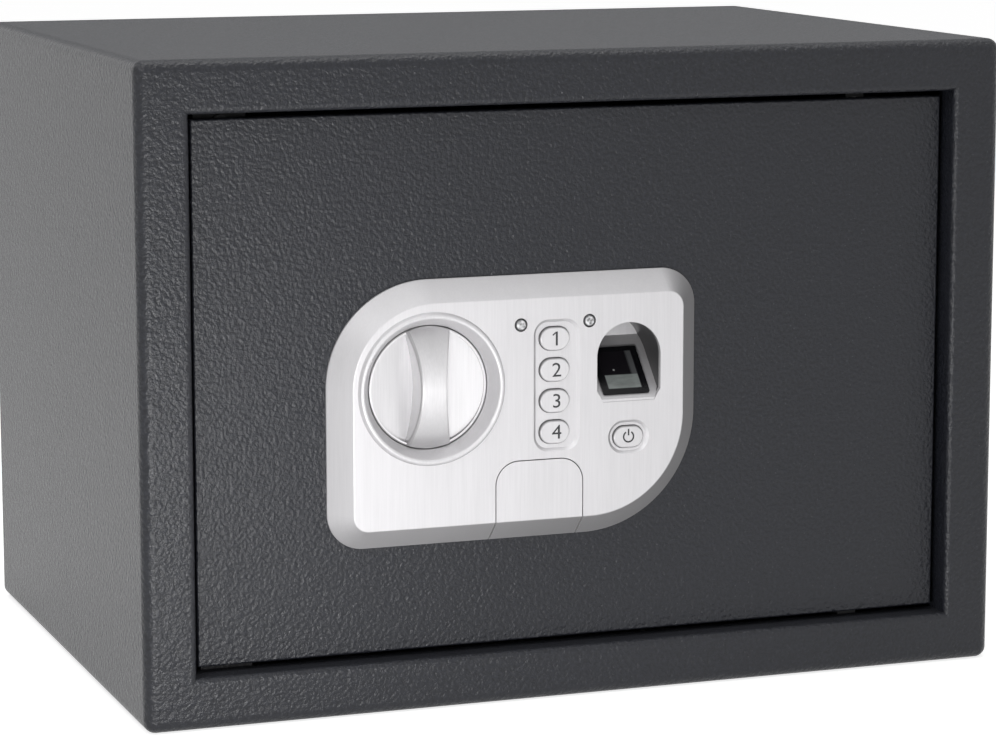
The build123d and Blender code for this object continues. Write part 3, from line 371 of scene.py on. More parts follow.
@dataclass(frozen=True)
class PowderCoat(Finish):
    """Textured powder coat, baked on steel: wrinkled skin, fine grain and a few bright flecks, which are
    painted glints.
    """

    name: str
    colour: Colour
    wrinkle: float = 1.3 * MM
    depth: float = 0.72 * MM
    flecks: float = 0.975
    gloss: float = 0.33
    shine: float = 0.375
    fleck_size: float = 0.8 * MM
    fleck_share: float = 0.12
    fleck_colour: Colour = (0.40, 0.41, 0.43)
    patch: float = 70 * MM
    matt_top: float = 0.25

    def make(self) -> bpy.types.Material:
        """Builds the powder coat."""
        graph = new_graph(self.name)
        folds = graph.cells(self.wrinkle * 1.3, "SMOOTH_F1")
        peel = graph.noise(self.wrinkle)
        grain = graph.noise(self.wrinkle * 0.35)
        height = folds * 0.35 + peel * 0.55 + grain * 0.15
        fleck = graph.out("ShaderNodeSeparateColor", None, {0: graph.cells(self.fleck_size, "F1", "Color")})
        near = 1.0 - graph.spread(graph.cells(self.fleck_size), 0.15, 0.40)
        bright = fleck.above(self.flecks) * near
        cloud = graph.noise(self.patch)
        base = graph.mottle(peel, self.colour, 0.7, 1.3)
        base = graph.blend(graph.spread(cloud, *WIDE, 0.0, 0.3), base, shade(self.colour, 1.25))
        # Painted glints: the bright flecks are lightened in the base colour.
        base = graph.blend(bright * self.fleck_share, base, self.fleck_colour)
        rough = graph.spread(grain, *WIDE, self.gloss - 0.05, self.gloss + 0.09) - bright * 0.1
        _, _, up = graph.facing()
        rough = rough + graph.spread(up, 0.6, 0.95, 0.0, self.matt_top)
        normal = graph.bump(height, self.depth)
        return graph.finish(Base_Color=base, Roughness=rough, Normal=normal, Specular_IOR_Level=self.shine)


@dataclass(frozen=True)
class Flop:
    """Painted shade: how far the colour is darkened on faces that look left, right, up and down."""

    left: float = 0.0
    right: float = 0.0
    up: float = 0.0
    down: float = 0.0

    def amount(self, graph: Graph) -> Signal:
        """Share of the painted shade at each place.

        Args:
            graph: the graph to add the nodes to.

        Returns:
            A signal from 0 to 1.
        """
        x, _, z = graph.facing()
        across = x.over(0.0) * self.right + (0.0 - x).over(0.0) * self.left
        along = z.over(0.0) * self.up + (0.0 - z).over(0.0) * self.down
        return graph.spread(across + along, 0.0, 1.0)


@dataclass(frozen=True)
class Zone:
    """A round place on a lacquered piece with its own painted shade, which darkens its walls by the way they
    face, up to a soft edge.
    """

    centre: Triple
    radius: float
    flop: Flop
    soft: float = 0.8 * MM

    def mix(self, graph: Graph, tone: Signal) -> Signal:
        """Puts the zone's own painted shade into that of the whole piece.

        Args:
            graph: the graph to add the nodes to.
            tone: share of the dark tone on the whole piece.

        Returns:
            The share with this zone in it.
        """
        inside = 1.0 - graph.spread(graph.reach(self.centre), self.radius, self.radius + self.soft)
        return tone * (1.0 - inside) + self.flop.amount(graph) * inside


class Grain(Enum):
    """Direction in which a metal was ground or turned."""

    ALONG_X = (0.03, 1.0, 1.0)
    ALONG_Z = (1.0, 1.0, 0.03)
    NONE = EVEN


@dataclass(frozen=True)
class SatinSilver(Finish):
    """Satin silver lacquer with a faint upright brushing, and painted shade that darkens its slopes by the
    way they face.
    """

    name: str
    colour: Colour = (0.655, 0.645, 0.66)
    metal: float = 0.4
    gloss: float = 0.38
    brushing: float = 0.45
    flop: Flop = Flop()
    dark: float = 0.50
    zones: tuple[Zone, ...] = ()
    fine_stroke: float = 0.55 * MM
    broad_stroke: float = 4.0 * MM
    patch: float = 35 * MM
    scratch: float = 0.012 * MM

    def make(self) -> bpy.types.Material:
        """Builds the silver lacquer."""
        graph = new_graph(self.name)
        strokes = graph.noise(self.fine_stroke, 3.0, Grain.ALONG_Z.value)
        broad = graph.noise(self.broad_stroke, 2.0, (1.0, 1.0, 0.08))
        cloud = graph.noise(self.patch)
        streak = strokes * 0.6 + broad * 0.4
        low, high = 1.0 - 0.10 * self.brushing, 1.0 + 0.06 * self.brushing
        base = graph.mottle(streak, self.colour, low, high, (0.36, 0.64))
        base = graph.blend(graph.spread(cloud, 0.35, 0.7, 0.0, 0.2), base, shade(self.colour, 0.95))
        tone = self.flop.amount(graph)
        for zone in self.zones:
            tone = zone.mix(graph, tone)
        # Painted shade: the piece's own shade settings and its zones darken the colour by the way each face
        # looks.
        base = graph.blend(tone, base, shade(self.colour, self.dark))
        rough = graph.spread(streak, *WIDE, self.gloss - 0.03, self.gloss + 0.05)
        normal = graph.bump(strokes, self.scratch * self.brushing, 0.6)
        return graph.finish(Base_Color=base, Roughness=rough, Metallic=self.metal, Normal=normal)


@dataclass(frozen=True)
class Metal(Finish):
    """Bare or plated metal with fine machining marks and a little staining."""

    name: str
    colour: Colour
    gloss: float = 0.3
    grain: Grain = Grain.NONE
    stain: Colour = (0.35, 0.33, 0.30)
    mark: float = 0.5 * MM
    patch: float = 9.0 * MM
    scratch: float = 0.02 * MM

    def make(self) -> bpy.types.Material:
        """Builds the metal."""
        graph = new_graph(self.name)
        marks = graph.noise(self.mark, 3.0, self.grain.value)
        cloud = graph.noise(self.patch, 3.0)
        base = graph.mottle(marks, self.colour, 0.9, 1.06)
        base = graph.blend(graph.spread(cloud, 0.5, 0.8, 0.0, 0.22), base, self.stain)
        rough = graph.spread(marks, *WIDE, self.gloss - 0.06, self.gloss + 0.1)
        normal = graph.bump(marks, self.scratch, 0.6)
        return graph.finish(Base_Color=base, Roughness=rough, Metallic=1.0, Normal=normal)


@dataclass(frozen=True)
class Moulded(Finish):
    """Moulded plastic or rubber with a spark-eroded grain."""

    name: str
    colour: Colour
    gloss: float = 0.45
    texture: float = 0.7 * MM
    depth: float = 0.03 * MM
    shine: float = 0.5
    patch: float = 14.0 * MM

    def make(self) -> bpy.types.Material:
        """Builds the moulding's material."""
        graph = new_graph(self.name)
        skin = graph.noise(self.texture, 3.0)
        cloud = graph.noise(self.patch)
        base = graph.mottle(skin, self.colour, 0.88, 1.12)
        base = graph.blend(graph.spread(cloud, 0.4, 0.75, 0.0, 0.25), base, shade(self.colour, 1.3))
        rough = graph.spread(skin, *WIDE, self.gloss - 0.06, self.gloss + 0.08)
        normal = graph.bump(skin, self.depth, 0.7)
        return graph.finish(Base_Color=base, Roughness=rough, Normal=normal, Specular_IOR_Level=self.shine)


@dataclass(frozen=True)
class Felt(Finish):
    """Needled felt: matted fibres in two shades."""

    name: str
    colour: Colour
    fibre: float = 1.6 * MM
    cross_fibre: float = 1.9 * MM
    nap: float = 0.5 * MM

    def make(self) -> bpy.types.Material:
        """Builds the felt."""
        graph = new_graph(self.name)
        fibres = graph.noise(self.fibre, 5.0, (1.0, 0.35, 1.0))
        cross = graph.noise(self.cross_fibre, 5.0, (0.35, 1.0, 1.0))
        fluff = fibres * 0.5 + cross * 0.5
        base = graph.mottle(fluff, self.colour, 0.6, 1.7, (0.38, 0.62))
        normal = graph.bump(fluff, self.nap, 0.8)
        return graph.finish(
            Base_Color=base, Roughness=0.95, Sheen_Weight=0.35, Sheen_Roughness=0.5, Normal=normal
        )


@dataclass(frozen=True)
class ReaderGlass(Finish):
    """Prism of the finger reader: near black, with a lighter strip, a pale patch and a small bright spot, all
    painted highlights.
    """

    name: str
    low: float = 119.5 * MM
    patch_top: float = 124.0 * MM
    sides: tuple[float, float] = (9.7 * MM, 23.5 * MM)
    strip: float = 20.6 * MM
    # The lamp is the place of that small bright spot, a painted highlight, not a lamp.
    lamp: Triple = (14.2 * MM, -116.7 * MM, 125.4 * MM)
    shine: float = 0.2
    soft: float = 0.25 * MM
    lamp_size: tuple[float, float] = (0.3 * MM, 0.75 * MM)
    glass: Colour = (0.008, 0.007, 0.009)
    strip_colour: Colour = (0.14, 0.145, 0.15)
    patch_colour: Colour = (0.26, 0.285, 0.275)
    lamp_colour: Colour = (0.95, 0.95, 0.95)

    def make(self) -> bpy.types.Material:
        """Builds the reader's glass."""
        graph = new_graph(self.name)
        split = graph.node("ShaderNodeSeparateXYZ", None, {0: graph.place()})
        across, height = Signal(graph, split.outputs[0]), Signal(graph, split.outputs[2])
        soft = self.soft
        inside = graph.spread(across, self.sides[0], self.sides[0] + soft)
        inside = inside * (1.0 - graph.spread(across, self.sides[1] - soft, self.sides[1]))
        inside = inside * graph.spread(height, self.low, self.low + soft)
        smear = graph.noise(2.4 * MM, 3.0, (0.35, 1.0, 1.0))
        lower = 1.0 - graph.spread(height, self.patch_top, self.patch_top + soft)
        edge = graph.spread(across, self.strip, self.strip + 4 * soft) * 0.55
        lit = inside * (lower * 0.95) * graph.spread(smear, *WIDE, 0.6, 1.0)
        # Painted highlights: a lighter strip at the right and a pale patch over the lower part.
        base = graph.blend(inside * edge, self.glass, self.strip_colour)
        base = graph.blend(lit, base, self.patch_colour)
        # Painted highlight: the small bright spot, put into the base colour.
        glow = 1.0 - graph.spread(graph.reach(self.lamp), *self.lamp_size)
        base = graph.blend(glow, base, self.lamp_colour)
        rough = graph.spread(smear, 0.3, 0.8, 0.06, 0.16)
        return graph.finish(Base_Color=base, Roughness=rough, Specular_IOR_Level=self.shine)


@dataclass(frozen=True)
class ClearLens(Finish):
    """Moulded lamp lens: a pale faceted core in a dark rim."""

    name: str
    colour: Colour = (0.55, 0.55, 0.56)
    rim_colour: Colour = (0.07, 0.07, 0.075)
    facet: float = 1.1 * MM

    def make(self) -> bpy.types.Material:
        """Builds the lens."""
        graph = new_graph(self.name)
        facets = graph.cells(self.facet)
        base = graph.mottle(facets, self.colour, 0.35, 1.5, (0.2, 0.8))
        _, y, _ = graph.facing()
        rim = graph.spread(y, -0.97, -0.75)
        base = graph.blend(rim, base, self.rim_colour)
        normal = graph.bump(facets, 0.12 * MM, 0.7)
        return graph.finish(Base_Color=base, Roughness=0.14, IOR=1.49, Coat_Weight=0.4, Normal=normal)


@dataclass(frozen=True)
class CircuitBoard(Finish):
    """Solder-masked board with faint tracks."""

    name: str
    colour: Colour = (0.012, 0.11, 0.045)
    track_pitch: float = 5.0 * MM
    weave_size: float = 0.8 * MM

    def make(self) -> bpy.types.Material:
        """Builds the board's material."""
        graph = new_graph(self.name)
        tracks = graph.cells(self.track_pitch, "DISTANCE_TO_EDGE")
        line = 1.0 - graph.spread(tracks, 0.03, 0.06)
        weave = graph.noise(self.weave_size)
        base = graph.blend(line * 0.6, self.colour, shade(self.colour, 2.2))
        rough = graph.spread(weave, *WIDE, 0.28, 0.4)
        return graph.finish(Base_Color=base, Roughness=rough, Normal=graph.bump(line, 0.04 * MM, 0.6))


@dataclass(frozen=True)
class CellWrap(Finish):
    """Shrink wrap of a dry cell, with a black band at one end."""

    name: str
    colour: Colour = (0.52, 0.35, 0.08)
    band_start: float = 76.0 * MM
    band_colour: Colour = (0.015, 0.015, 0.016)
    crease: float = 2.5 * MM

    def make(self) -> bpy.types.Material:
        """Builds the wrap."""
        graph = new_graph(self.name)
        along = graph.out("ShaderNodeSeparateXYZ", None, {0: graph.place()}, "X")
        band = graph.spread(along, self.band_start, self.band_start + 0.3 * MM)
        wrinkle = graph.noise(self.crease)
        base = graph.blend(band, self.colour, self.band_colour)
        rough = graph.spread(wrinkle, *WIDE, 0.2, 0.34)
        normal = graph.bump(wrinkle, 0.02 * MM)
        return graph.finish(Base_Color=base, Roughness=rough, Metallic=0.3, Normal=normal)


@dataclass(frozen=True)
class Ink(Finish):
    """Pad-printed ink, a little uneven."""

    name: str
    colour: Colour = (0.020, 0.020, 0.023)
    speckle: float = 0.5 * MM

    def make(self) -> bpy.types.Material:
        """Builds the ink."""
        graph = new_graph(self.name)
        uneven = graph.noise(self.speckle)
        base = graph.mottle(uneven, self.colour, 0.8, 1.35, WIDE)
        return graph.finish(Base_Color=base, Roughness=0.5)


CASE_PAINT = PowderCoat("case_powder_coat", (0.0125, 0.0135, 0.018))
DOOR_PAINT = PowderCoat("door_powder_coat", (0.0125, 0.0135, 0.018))
PLAIN_PAINT = PowderCoat("inner_powder_coat", (0.030, 0.031, 0.035), depth=0.2 * MM, flecks=0.99)
BLACK_PAINT = PowderCoat("black_powder_coat", (0.006, 0.006, 0.007), depth=0.2 * MM, flecks=0.99, shine=0.15)
PANEL_FACE = -126 * MM
# Painted shade on the panel: each zone darkens its walls by the way they face.
KEY_CHANNEL = Zone((-12.7 * MM, PANEL_FACE, 122.9 * MM), 27.0 * MM, Flop(right=0.55, down=0.35))
POWER_DIMPLE = Zone((16.8 * MM, PANEL_FACE, 101.1 * MM), 10.5 * MM, Flop(right=0.9, down=0.35))
KNOB_RING = Zone((-63 * MM, PANEL_FACE, 124.2 * MM), 28.6 * MM, Flop(left=0.1))
# The painted shade on the bevel's lower left eases towards its corner, so that part is painted lighter; the
# zones after this one lie over it.
PANEL_FOOT = Zone(
    (-110 * MM, PANEL_FACE, 55 * MM),
    32.0 * MM,
    Flop(left=0.2, right=1.4, up=0.25, down=0.75),
    soft=75.0 * MM,
)
PANEL_SILVER = SatinSilver(
    "panel_silver_lacquer",
    gloss=0.46,
    flop=Flop(left=0.2, right=1.4, up=0.25, down=1.4),
    zones=(PANEL_FOOT, KEY_CHANNEL, POWER_DIMPLE, KNOB_RING),
)
# Painted shade on keys, finger pocket and knob: faces that look the given ways are darkened.
KEY_SILVER = SatinSilver("key_silver_lacquer", gloss=0.44, flop=Flop(left=1.0, up=1.2), dark=0.3)
POCKET_SILVER = SatinSilver(
    "pocket_silver_lacquer", flop=Flop(left=1.5, right=0.5, up=0.4, down=1.0), dark=0.12
)
KNOB_SILVER = SatinSilver(
    "knob_satin_metal",
    colour=(0.755, 0.745, 0.76),
    metal=0.5,
    gloss=0.36,
    brushing=0.7,
    flop=Flop(left=3.0, right=0.15, up=1.1, down=1.2),
    dark=0.45,
)
ZINC = Metal("zinc_plated_steel", (0.50, 0.51, 0.50), 0.34)
GROUND_STEEL = Metal("ground_steel", (0.54, 0.54, 0.55), 0.22, Grain.ALONG_X)
PIN_STEEL = Metal("turned_pin_steel", (0.62, 0.62, 0.63), 0.26, Grain.ALONG_Z)
BRASS = Metal("turned_brass", (0.62, 0.44, 0.17), 0.28, stain=(0.30, 0.18, 0.06))
NYLON = Moulded("natural_nylon", (0.66, 0.64, 0.58), 0.42)
BLACK_NYLON = Moulded("black_nylon", (0.012, 0.012, 0.013), 0.5, shine=0.3)
GLOSS_BLACK = Moulded("gloss_black_plastic", (0.005, 0.005, 0.006), 0.16, shine=0.14)
RUBBER = Moulded("black_rubber", (0.018, 0.018, 0.019), 0.65)
BLACK_PLASTIC = Moulded("black_plastic", (0.014, 0.014, 0.016), 0.38)
RED_PLASTIC = Moulded("red_plastic", (0.45, 0.012, 0.012), 0.3)
LEAD_RED = Moulded("lead_insulation", (0.32, 0.014, 0.012), 0.35)
COIL_TAPE = Moulded("coil_tape", (0.03, 0.07, 0.30), 0.3)
READER_GLASS = ReaderGlass("reader_glass")
LENS = ClearLens("lamp_lens")
BOARD = CircuitBoard("circuit_board")
CELL = CellWrap("cell_wrap")
INK = Ink("key_ink")
FELT = Felt("grey_felt", (0.045, 0.046, 0.05))


# ------------------------------------------------------------------ shared modelling
def node(name: str) -> bpy.types.Object:
    """The CAD node of that name."""
    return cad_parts[name]


def deselect() -> None:
    """Deselects every object."""
    bpy.ops.object.select_all(action="DESELECT")


def take(piece: bpy.types.Object) -> None:
    """Makes a piece the only selected and active one.

    Args:
        piece: the object to select.
    """
    deselect()
    piece.select_set(True)
    bpy.context.view_layer.objects.active = piece


def settle(piece: bpy.types.Object, name: str) -> None:
    """Names a new piece and moves its place into its mesh, so that its object is at the origin.

    Args:
        piece: the new object.
        name: the piece's name.
    """
    piece.name = name
    piece.data.name = name
    take(piece)
    bpy.ops.object.transform_apply(location=True, rotation=True, scale=True)


def mount(piece: bpy.types.Object, body: str, finish: Finish) -> None:
    """Dresses a new piece and lets it ride on its body.

    Args:
        piece: the finished object.
        body: the CAD body it moves with.
        finish: the finish to wear.
    """
    finish.dress(piece)
    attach(piece, body)
    log.info("made %s on %s", piece.name, body)


def dress_nodes(finish: Finish, *names: str) -> None:
    """Gives CAD nodes a finish.

    Args:
        finish: the finish to wear.
        *names: the nodes' names.
    """
    finish.dress(*(node(name) for name in names))
    log.info("dressed %s in %s", ", ".join(names), finish.name)


# ------------------------------------------------------------------ sub-assemblies
@dataclass
class Cabinet:
    """Folded cabinet with its back, brackets, stops and felt floor."""

    mat_margin: float = 1.0 * MM
    mat_sheet: float = 2.4 * MM
    hole_reach: float = 12.0 * MM
    base_holes: tuple[float, float] = (200 * MM, 120 * MM)
    mat_mesh: tuple[int, int] = (86, 61)
    mat_thinner: float = 0.3 * MM
    ripple: float = 0.18 * MM
    punch_sides: int = 32
    punch_depth: float = 20 * MM

    def dress(self) -> None:
        """Paints the cabinet's sheet parts and finishes its small parts."""
        dress_nodes(CASE_PAINT, "cabinet_shell", "back_panel")
        dress_nodes(BLACK_PAINT, "hinge_bracket_lower", "hinge_bracket_upper", "door_stops")
        dress_nodes(BLACK_NYLON, "hinge_bushes")
        dress_nodes(RUBBER, "stop_bumpers")

    def floor_mat(self) -> None:
        """Models the felt mat, with round cut-outs over the anchor holes."""
        low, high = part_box("floor_mat")
        flat = (high.x - low.x - 2 * self.mat_margin, high.y - low.y - 2 * self.mat_margin)
        deselect()
        columns, rows = self.mat_mesh
        bpy.ops.mesh.primitive_grid_add(x_subdivisions=columns, y_subdivisions=rows, size=1.0)
        mat = bpy.context.object
        mat.scale = (*flat, 1.0)
        mat.location = ((low.x + high.x) / 2, (low.y + high.y) / 2, low.z + self.mat_sheet)
        settle(mat, "felt_mat")
        self._cut_holes(mat)
        for vertex in mat.data.vertices:
            x, y = vertex.co.x, vertex.co.y
            wave = math.sin(61 * x + 1.2) * math.cos(47 * y) + 0.4 * math.sin(140 * (x + y))
            vertex.co.z += self.ripple * wave
        thick = mat.modifiers.new("thickness", "SOLIDIFY")
        thick.thickness = self.mat_sheet - self.mat_thinner
        thick.offset = -1.0
        take(mat)
        bpy.ops.object.modifier_apply(modifier=thick.name)
        bpy.ops.object.shade_smooth_by_angle(angle=SMOOTH_BELOW)
        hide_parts("floor_mat")
        mount(mat, "cabinet", FELT)

    def _cut_holes(self, mat: bpy.types.Object) -> None:
        """Cuts the mat away round each anchor hole with a round punch.

        Args:
            mat: the flat mat.
        """
        for side_x in (-1, 1):
            for side_y in (-1, 1):
                deselect()
                centre = (side_x * self.base_holes[0] / 2, side_y * self.base_holes[1] / 2, self.mat_sheet)
                bpy.ops.mesh.primitive_cylinder_add(
                    vertices=self.punch_sides, radius=self.hole_reach, depth=self.punch_depth, location=centre
                )
                punch = bpy.context.object
                cut = mat.modifiers.new("punch", "BOOLEAN")
                cut.operation = "DIFFERENCE"
                cut.object = punch
                take(mat)
                bpy.ops.object.modifier_apply(modifier=cut.name)
                bpy.data.objects.remove(punch)

    def build(self) -> None:
        """Builds and dresses the cabinet."""
        self.dress()
        self.floor_mat()


@dataclass
class Door:
    """Door plate, hinge parts and the inner cover with what it carries."""

    def build(self) -> None:
        """Dresses the door's parts."""
        dress_nodes(DOOR_PAINT, "door_plate")
        dress_nodes(PLAIN_PAINT, "inner_cover", "hinge_knuckles")
        dress_nodes(PIN_STEEL, "hinge_pin_lower", "hinge_pin_upper")
        dress_nodes(ZINC, "cover_posts", "cover_screws", "guide_screws", "panel_screws")
        dress_nodes(ZINC, "bolt_guide", "bolt_carrier", "bolt_screws")
        dress_nodes(GROUND_STEEL, "bolt_lower", "bolt_upper")
        dress_nodes(NYLON, "knob_bush", "board_standoffs")


@dataclass
class LockWorks:
    """Knob shaft, crank, solenoid and override lock behind the panel."""

    def build(self) -> None:
        """Dresses the lock works."""
        dress_nodes(ZINC, "knob_shaft", "crank_disc", "stop_lobe", "crank_screw")
        dress_nodes(ZINC, "solenoid_frame", "release_plate", "override_cam", "cam_screw", "override_nut")
        dress_nodes(PIN_STEEL, "solenoid_plunger", "plunger_spring")
        dress_nodes(COIL_TAPE, "solenoid_coil")
        dress_nodes(BRASS, "override_barrel", "override_plug")


@dataclass
class Electronics:
    """Boards, battery compartment and the reset button."""

    def build(self) -> None:
        """Dresses the electronics."""
        dress_nodes(BOARD, "keypad_board", "control_board")
        dress_nodes(RUBBER, "keypad_membrane")
        dress_nodes(BLACK_PLASTIC, "battery_box", "battery_lid")
        dress_nodes(CELL, "batteries")
        dress_nodes(ZINC, "battery_contacts")
        dress_nodes(LEAD_RED, "battery_lead")
        dress_nodes(RED_PLASTIC, "reset_button")


@dataclass
class Keypad:
    """Keys with their printed marks."""

    digit_height: float = 5.35 * MM
    digit_shift: float = 0.7 * MM
    digit_stretch: float = 1.08
    ink_sheet: float = 0.03 * MM
    icon_radius: float = 2.05 * MM
    icon_stroke: float = 0.62 * MM
    icon_gap: float = math.radians(64)
    icon_steps: int = 28
    icon_bar: tuple[float, float] = (0.85, 1.25)
    flag_size: tuple[float, float] = (2.9, 0.85)
    flag_place: tuple[float, float] = (-1.7, -1.45)
    flag_slope: float = math.radians(-38)
    flag_stroke: float = 0.11

    def _face(self, name: str) -> Vector:
        """Centre of a key's front face.

        Args:
            name: the key's node.

        Returns:
            The point at the middle of its front.
        """
        low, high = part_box(name)
        return Vector(((low.x + high.x) / 2, low.y, (low.z + high.z) / 2))

    def digit(self, number: int) -> None:
        """Prints one digit on its key.

        Args:
            number: the digit, from 1 to 4.
        """
        key = f"key_{number}"
        face = self._face(key)
        deselect()
        bpy.ops.object.text_add(location=(0, 0, 0))
        text = bpy.context.object
        text.data.body = str(number)
        text.data.align_x = "CENTER"
        text.data.size = 1.0
        text.data.resolution_u = 6
        text.data.extrude = 0.001
        take(text)
        bpy.ops.object.convert(target="MESH")
        mark = bpy.context.object
        heights = [vertex.co.y for vertex in mark.data.vertices]
        widths = [vertex.co.x for vertex in mark.data.vertices]
        middle = ((min(widths) + max(widths)) / 2, (min(heights) + max(heights)) / 2)
        scale = self.digit_height / (max(heights) - min(heights))
        for vertex in mark.data.vertices:
            vertex.co.x = (vertex.co.x - middle[0]) * scale * self.digit_stretch
            vertex.co.y = (vertex.co.y - middle[1]) * scale
            vertex.co.z = math.copysign(self.ink_sheet, vertex.co.z)
        if number == 1:
            self._flag(mark)
        mark.rotation_euler = (math.radians(90), 0, 0)
        mark.location = face + Vector((self.digit_shift, 0, 0))
        settle(mark, f"digit_{number}")
        mount(mark, key, INK)

    def _flag(self, mark: bpy.types.Object) -> None:
        """Adds the slanted stroke at the top of the figure one.

        Args:
            mark: the figure, flat in X and Y about its middle.
        """
        stroke = self.flag_stroke * self.digit_height
        width, height = self.flag_size
        tip = max(vertex.co.y for vertex in mark.data.vertices)
        take(mark)
        bpy.ops.object.mode_set(mode="EDIT")
        bpy.ops.mesh.select_all(action="DESELECT")
        centre = (self.flag_place[0] * stroke, tip + self.flag_place[1] * stroke, 0)
        bpy.ops.mesh.primitive_cube_add(size=1.0, location=centre)
        shape = (width * stroke, height * stroke, 2 * self.ink_sheet)
        bpy.ops.transform.resize(value=shape, center_override=centre)
        bpy.ops.transform.rotate(value=self.flag_slope, orient_axis="Z", center_override=centre)
        bpy.ops.object.mode_set(mode="OBJECT")

    def power_icon(self) -> None:
        """Prints the power symbol, an open ring with a bar, on the power key."""
        face = self._face("power_key")
        deselect()
        bpy.ops.mesh.primitive_plane_add(size=1.0)
        ring = bpy.context.object
        self._arc(ring)
        ring.location = face
        settle(ring, "power_icon")
        mount(ring, "power_key", INK)

    def _arc(self, ring: bpy.types.Object) -> None:
        """Shapes the icon's ring by spinning a small bar, and adds the upright stroke.

        Args:
            ring: a plane to start from.
        """
        half = self.icon_stroke / 2
        for vertex in ring.data.vertices:
            side = 1 if vertex.co.x > 0 else -1
            front = -1 if vertex.co.y > 0 else 1
            angle = math.radians(90) + self.icon_gap / 2
            radius = self.icon_radius + side * half
            vertex.co = (radius * math.cos(angle), front * self.ink_sheet, radius * math.sin(angle))
        take(ring)
        bpy.ops.object.mode_set(mode="EDIT")
        bpy.ops.mesh.select_all(action="SELECT")
        sweep = 2 * math.pi - self.icon_gap
        bpy.ops.mesh.spin(steps=self.icon_steps, dupli=False, angle=sweep, center=(0, 0, 0), axis=(0, 1, 0))
        bpy.ops.mesh.select_all(action="DESELECT")
        middle, length = self.icon_bar
        centre = (0, 0, self.icon_radius * middle)
        bpy.ops.mesh.primitive_cube_add(size=1.0, location=centre)
        stroke = (self.icon_stroke, 2 * self.ink_sheet, self.icon_radius * length)
        bpy.ops.transform.resize(value=stroke, center_override=centre)
        bpy.ops.mesh.select_all(action="SELECT")
        bpy.ops.mesh.normals_make_consistent(inside=False)
        bpy.ops.object.mode_set(mode="OBJECT")

    def build(self) -> None:
        """Dresses the keys and prints their marks."""
        keys = [f"key_{number}" for number in range(1, 5)]
        dress_nodes(KEY_SILVER, *keys, "power_key")
        for number in range(1, 5):
            self.digit(number)
        self.power_icon()


@dataclass
class LockPanel:
    """Silver panel with its knob, lamps, reader and snap-in cover."""

    def build(self) -> None:
        """Dresses the panel's parts."""
        dress_nodes(PANEL_SILVER, "lock_panel", "key_cover")
        dress_nodes(POCKET_SILVER, "finger_guide")
        dress_nodes(KNOB_SILVER, "knob")
        dress_nodes(GLOSS_BLACK, "sensor_bezel")
        dress_nodes(BLACK_PLASTIC, "sensor_module")
        dress_nodes(READER_GLASS, "sensor_window")
        dress_nodes(LENS, "led_lenses")


# ------------------------------------------------------------------ studio
@dataclass(frozen=True)
class Lamp:
    """A rectangular softbox aimed at a point."""

    name: str
    place: Triple
    aim: Triple
    size: tuple[float, float]
    power: float

    def build(self) -> None:
        """Adds the softbox."""
        data = bpy.data.lights.new(self.name, "AREA")
        data.shape = "RECTANGLE"
        data.size, data.size_y = self.size
        data.energy = self.power
        lamp = bpy.data.objects.new(self.name, data)
        lamp.location = self.place
        lamp.visible_camera = False
        lamp.rotation_mode = "QUATERNION"
        lamp.rotation_quaternion = (Vector(self.aim) - Vector(self.place)).to_track_quat("-Z", "Y")
        bpy.context.scene.collection.objects.link(lamp)


SOFTBOXES = (
    Lamp("top_softbox", (0.0, 0.0, 1.5), (0.0, 0.0, 0.2), (1.0, 1.0), 9.0),
    Lamp("key_softbox", (-0.6, -0.6, 0.85), (0.0, -0.1, 0.12), (0.35, 0.35), 1.8),
    Lamp("low_softbox", (-0.19, -0.5, 0.03), (-0.08, -0.12, 0.06), (0.18, 0.05), 0.95),
)


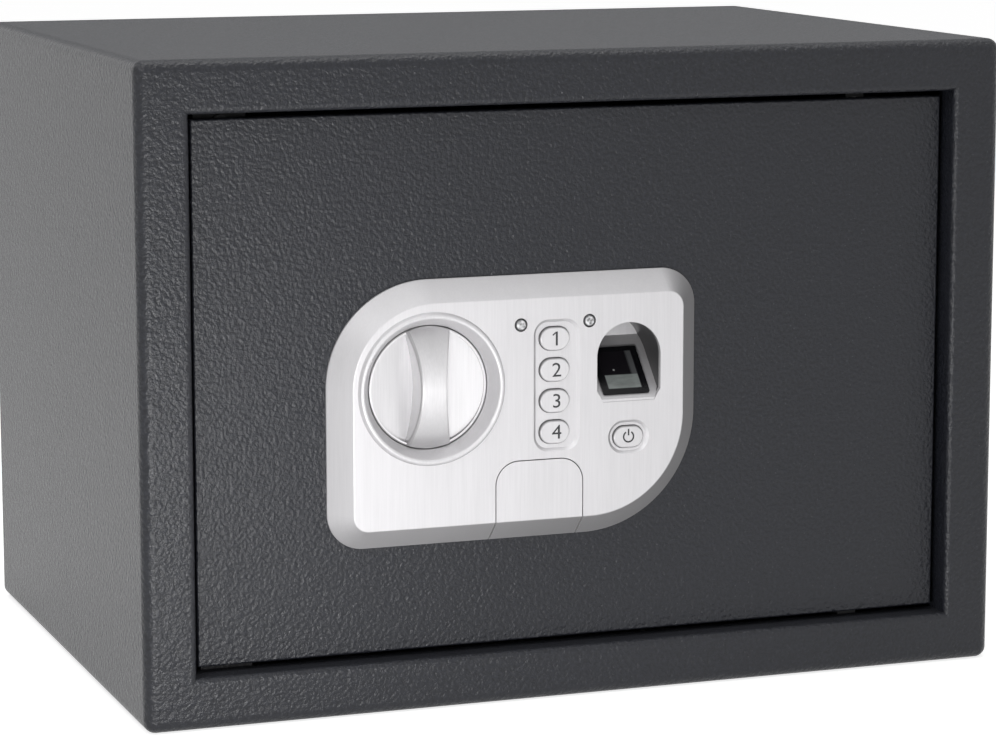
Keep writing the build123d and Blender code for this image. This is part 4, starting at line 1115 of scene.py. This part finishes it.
@dataclass
class Studio:
    """Camera, floor, white surroundings and softboxes."""

    azimuth: float = -20.019
    elevation: float = 9.224
    roll: float = -0.062
    distance: float = 1.44
    target: Triple = (9.4 * MM, 0.0, 107.45 * MM)
    lens: float = 124.74
    sensor: float = 36.0
    floor_size: float = 14.0
    floor_colour: Colour = (0.66, 0.66, 0.66)
    floor_lift: float = 0.74
    room_light: float = 0.38
    floor_drop: float = 0.05 * MM
    near_far: tuple[float, float] = (0.01, 100.0)
    softboxes: tuple[Lamp, ...] = SOFTBOXES

    def camera(self) -> None:
        """Places the camera."""
        turn, tilt = math.radians(self.azimuth), math.radians(self.elevation)
        back = Vector((math.sin(turn) * math.cos(tilt), -math.cos(turn) * math.cos(tilt), math.sin(tilt)))
        data = bpy.data.cameras.new("camera")
        data.lens = self.lens
        data.sensor_width = self.sensor
        data.clip_start, data.clip_end = self.near_far
        camera = bpy.data.objects.new("camera", data)
        camera.location = Vector(self.target) + back * self.distance
        camera.rotation_mode = "QUATERNION"
        level = (-back).to_track_quat("-Z", "Y")
        camera.rotation_quaternion = level @ Quaternion((0, 0, 1), math.radians(self.roll))
        bpy.context.scene.collection.objects.link(camera)
        bpy.context.scene.camera = camera

    def floor(self) -> None:
        """Adds the pale floor, which is lifted to white for the camera and keeps its shadow."""
        deselect()
        bpy.ops.mesh.primitive_plane_add(size=self.floor_size, location=(0, 0, -self.floor_drop))
        floor = bpy.context.object
        floor.name = "studio_floor"
        graph = new_graph("floor_paint")
        seen = self._seen(graph)
        diffuse = graph.out("ShaderNodeBsdfDiffuse", None, {"Color": self.floor_colour})
        glow = graph.out("ShaderNodeEmission", None, {"Color": WHITE, "Strength": seen * self.floor_lift})
        both = graph.out("ShaderNodeAddShader", None, {0: diffuse, 1: glow})
        graph.node("ShaderNodeOutputMaterial", None, {"Surface": both})
        floor.data.materials.append(graph.owner)

    @staticmethod
    def _seen(graph: Graph) -> Signal:
        """One for rays that show the background: camera, mirror and glass rays.

        Args:
            graph: the graph to add the nodes to.

        Returns:
            The mask.
        """
        path = graph.node("ShaderNodeLightPath")
        kinds = ("Camera", "Glossy", "Transmission")
        camera, mirror, glass = (Signal(graph, path.outputs[f"Is {kind} Ray"]) for kind in kinds)
        return graph.math("MINIMUM", camera + mirror + glass, 1.0)

    def surroundings(self) -> None:
        """Makes the world white to the camera and plain for lighting."""
        graph = Graph(bpy.data.worlds.new("surroundings"))
        bpy.context.scene.world = graph.owner
        seen = self._seen(graph)
        strength = seen * (1.0 - self.room_light) + self.room_light
        light = graph.out("ShaderNodeBackground", None, {"Color": WHITE, "Strength": strength})
        graph.node("ShaderNodeOutputWorld", None, {"Surface": light})

    def build(self) -> None:
        """Builds the whole studio."""
        scene = bpy.context.scene
        scene.view_settings.view_transform = "Standard"
        self.camera()
        self.floor()
        self.surroundings()
        for lamp in self.softboxes:
            lamp.build()


def main() -> None:
    """Builds the studio and every sub-assembly in order."""
    logging.basicConfig(level=logging.INFO, format="%(name)s: %(message)s")
    for part in (Studio(), Cabinet(), Door(), LockWorks(), Electronics(), LockPanel(), Keypad()):
        part.build()
        log.info("built %s", type(part).__name__)


if __name__ == "__main__":
    main()
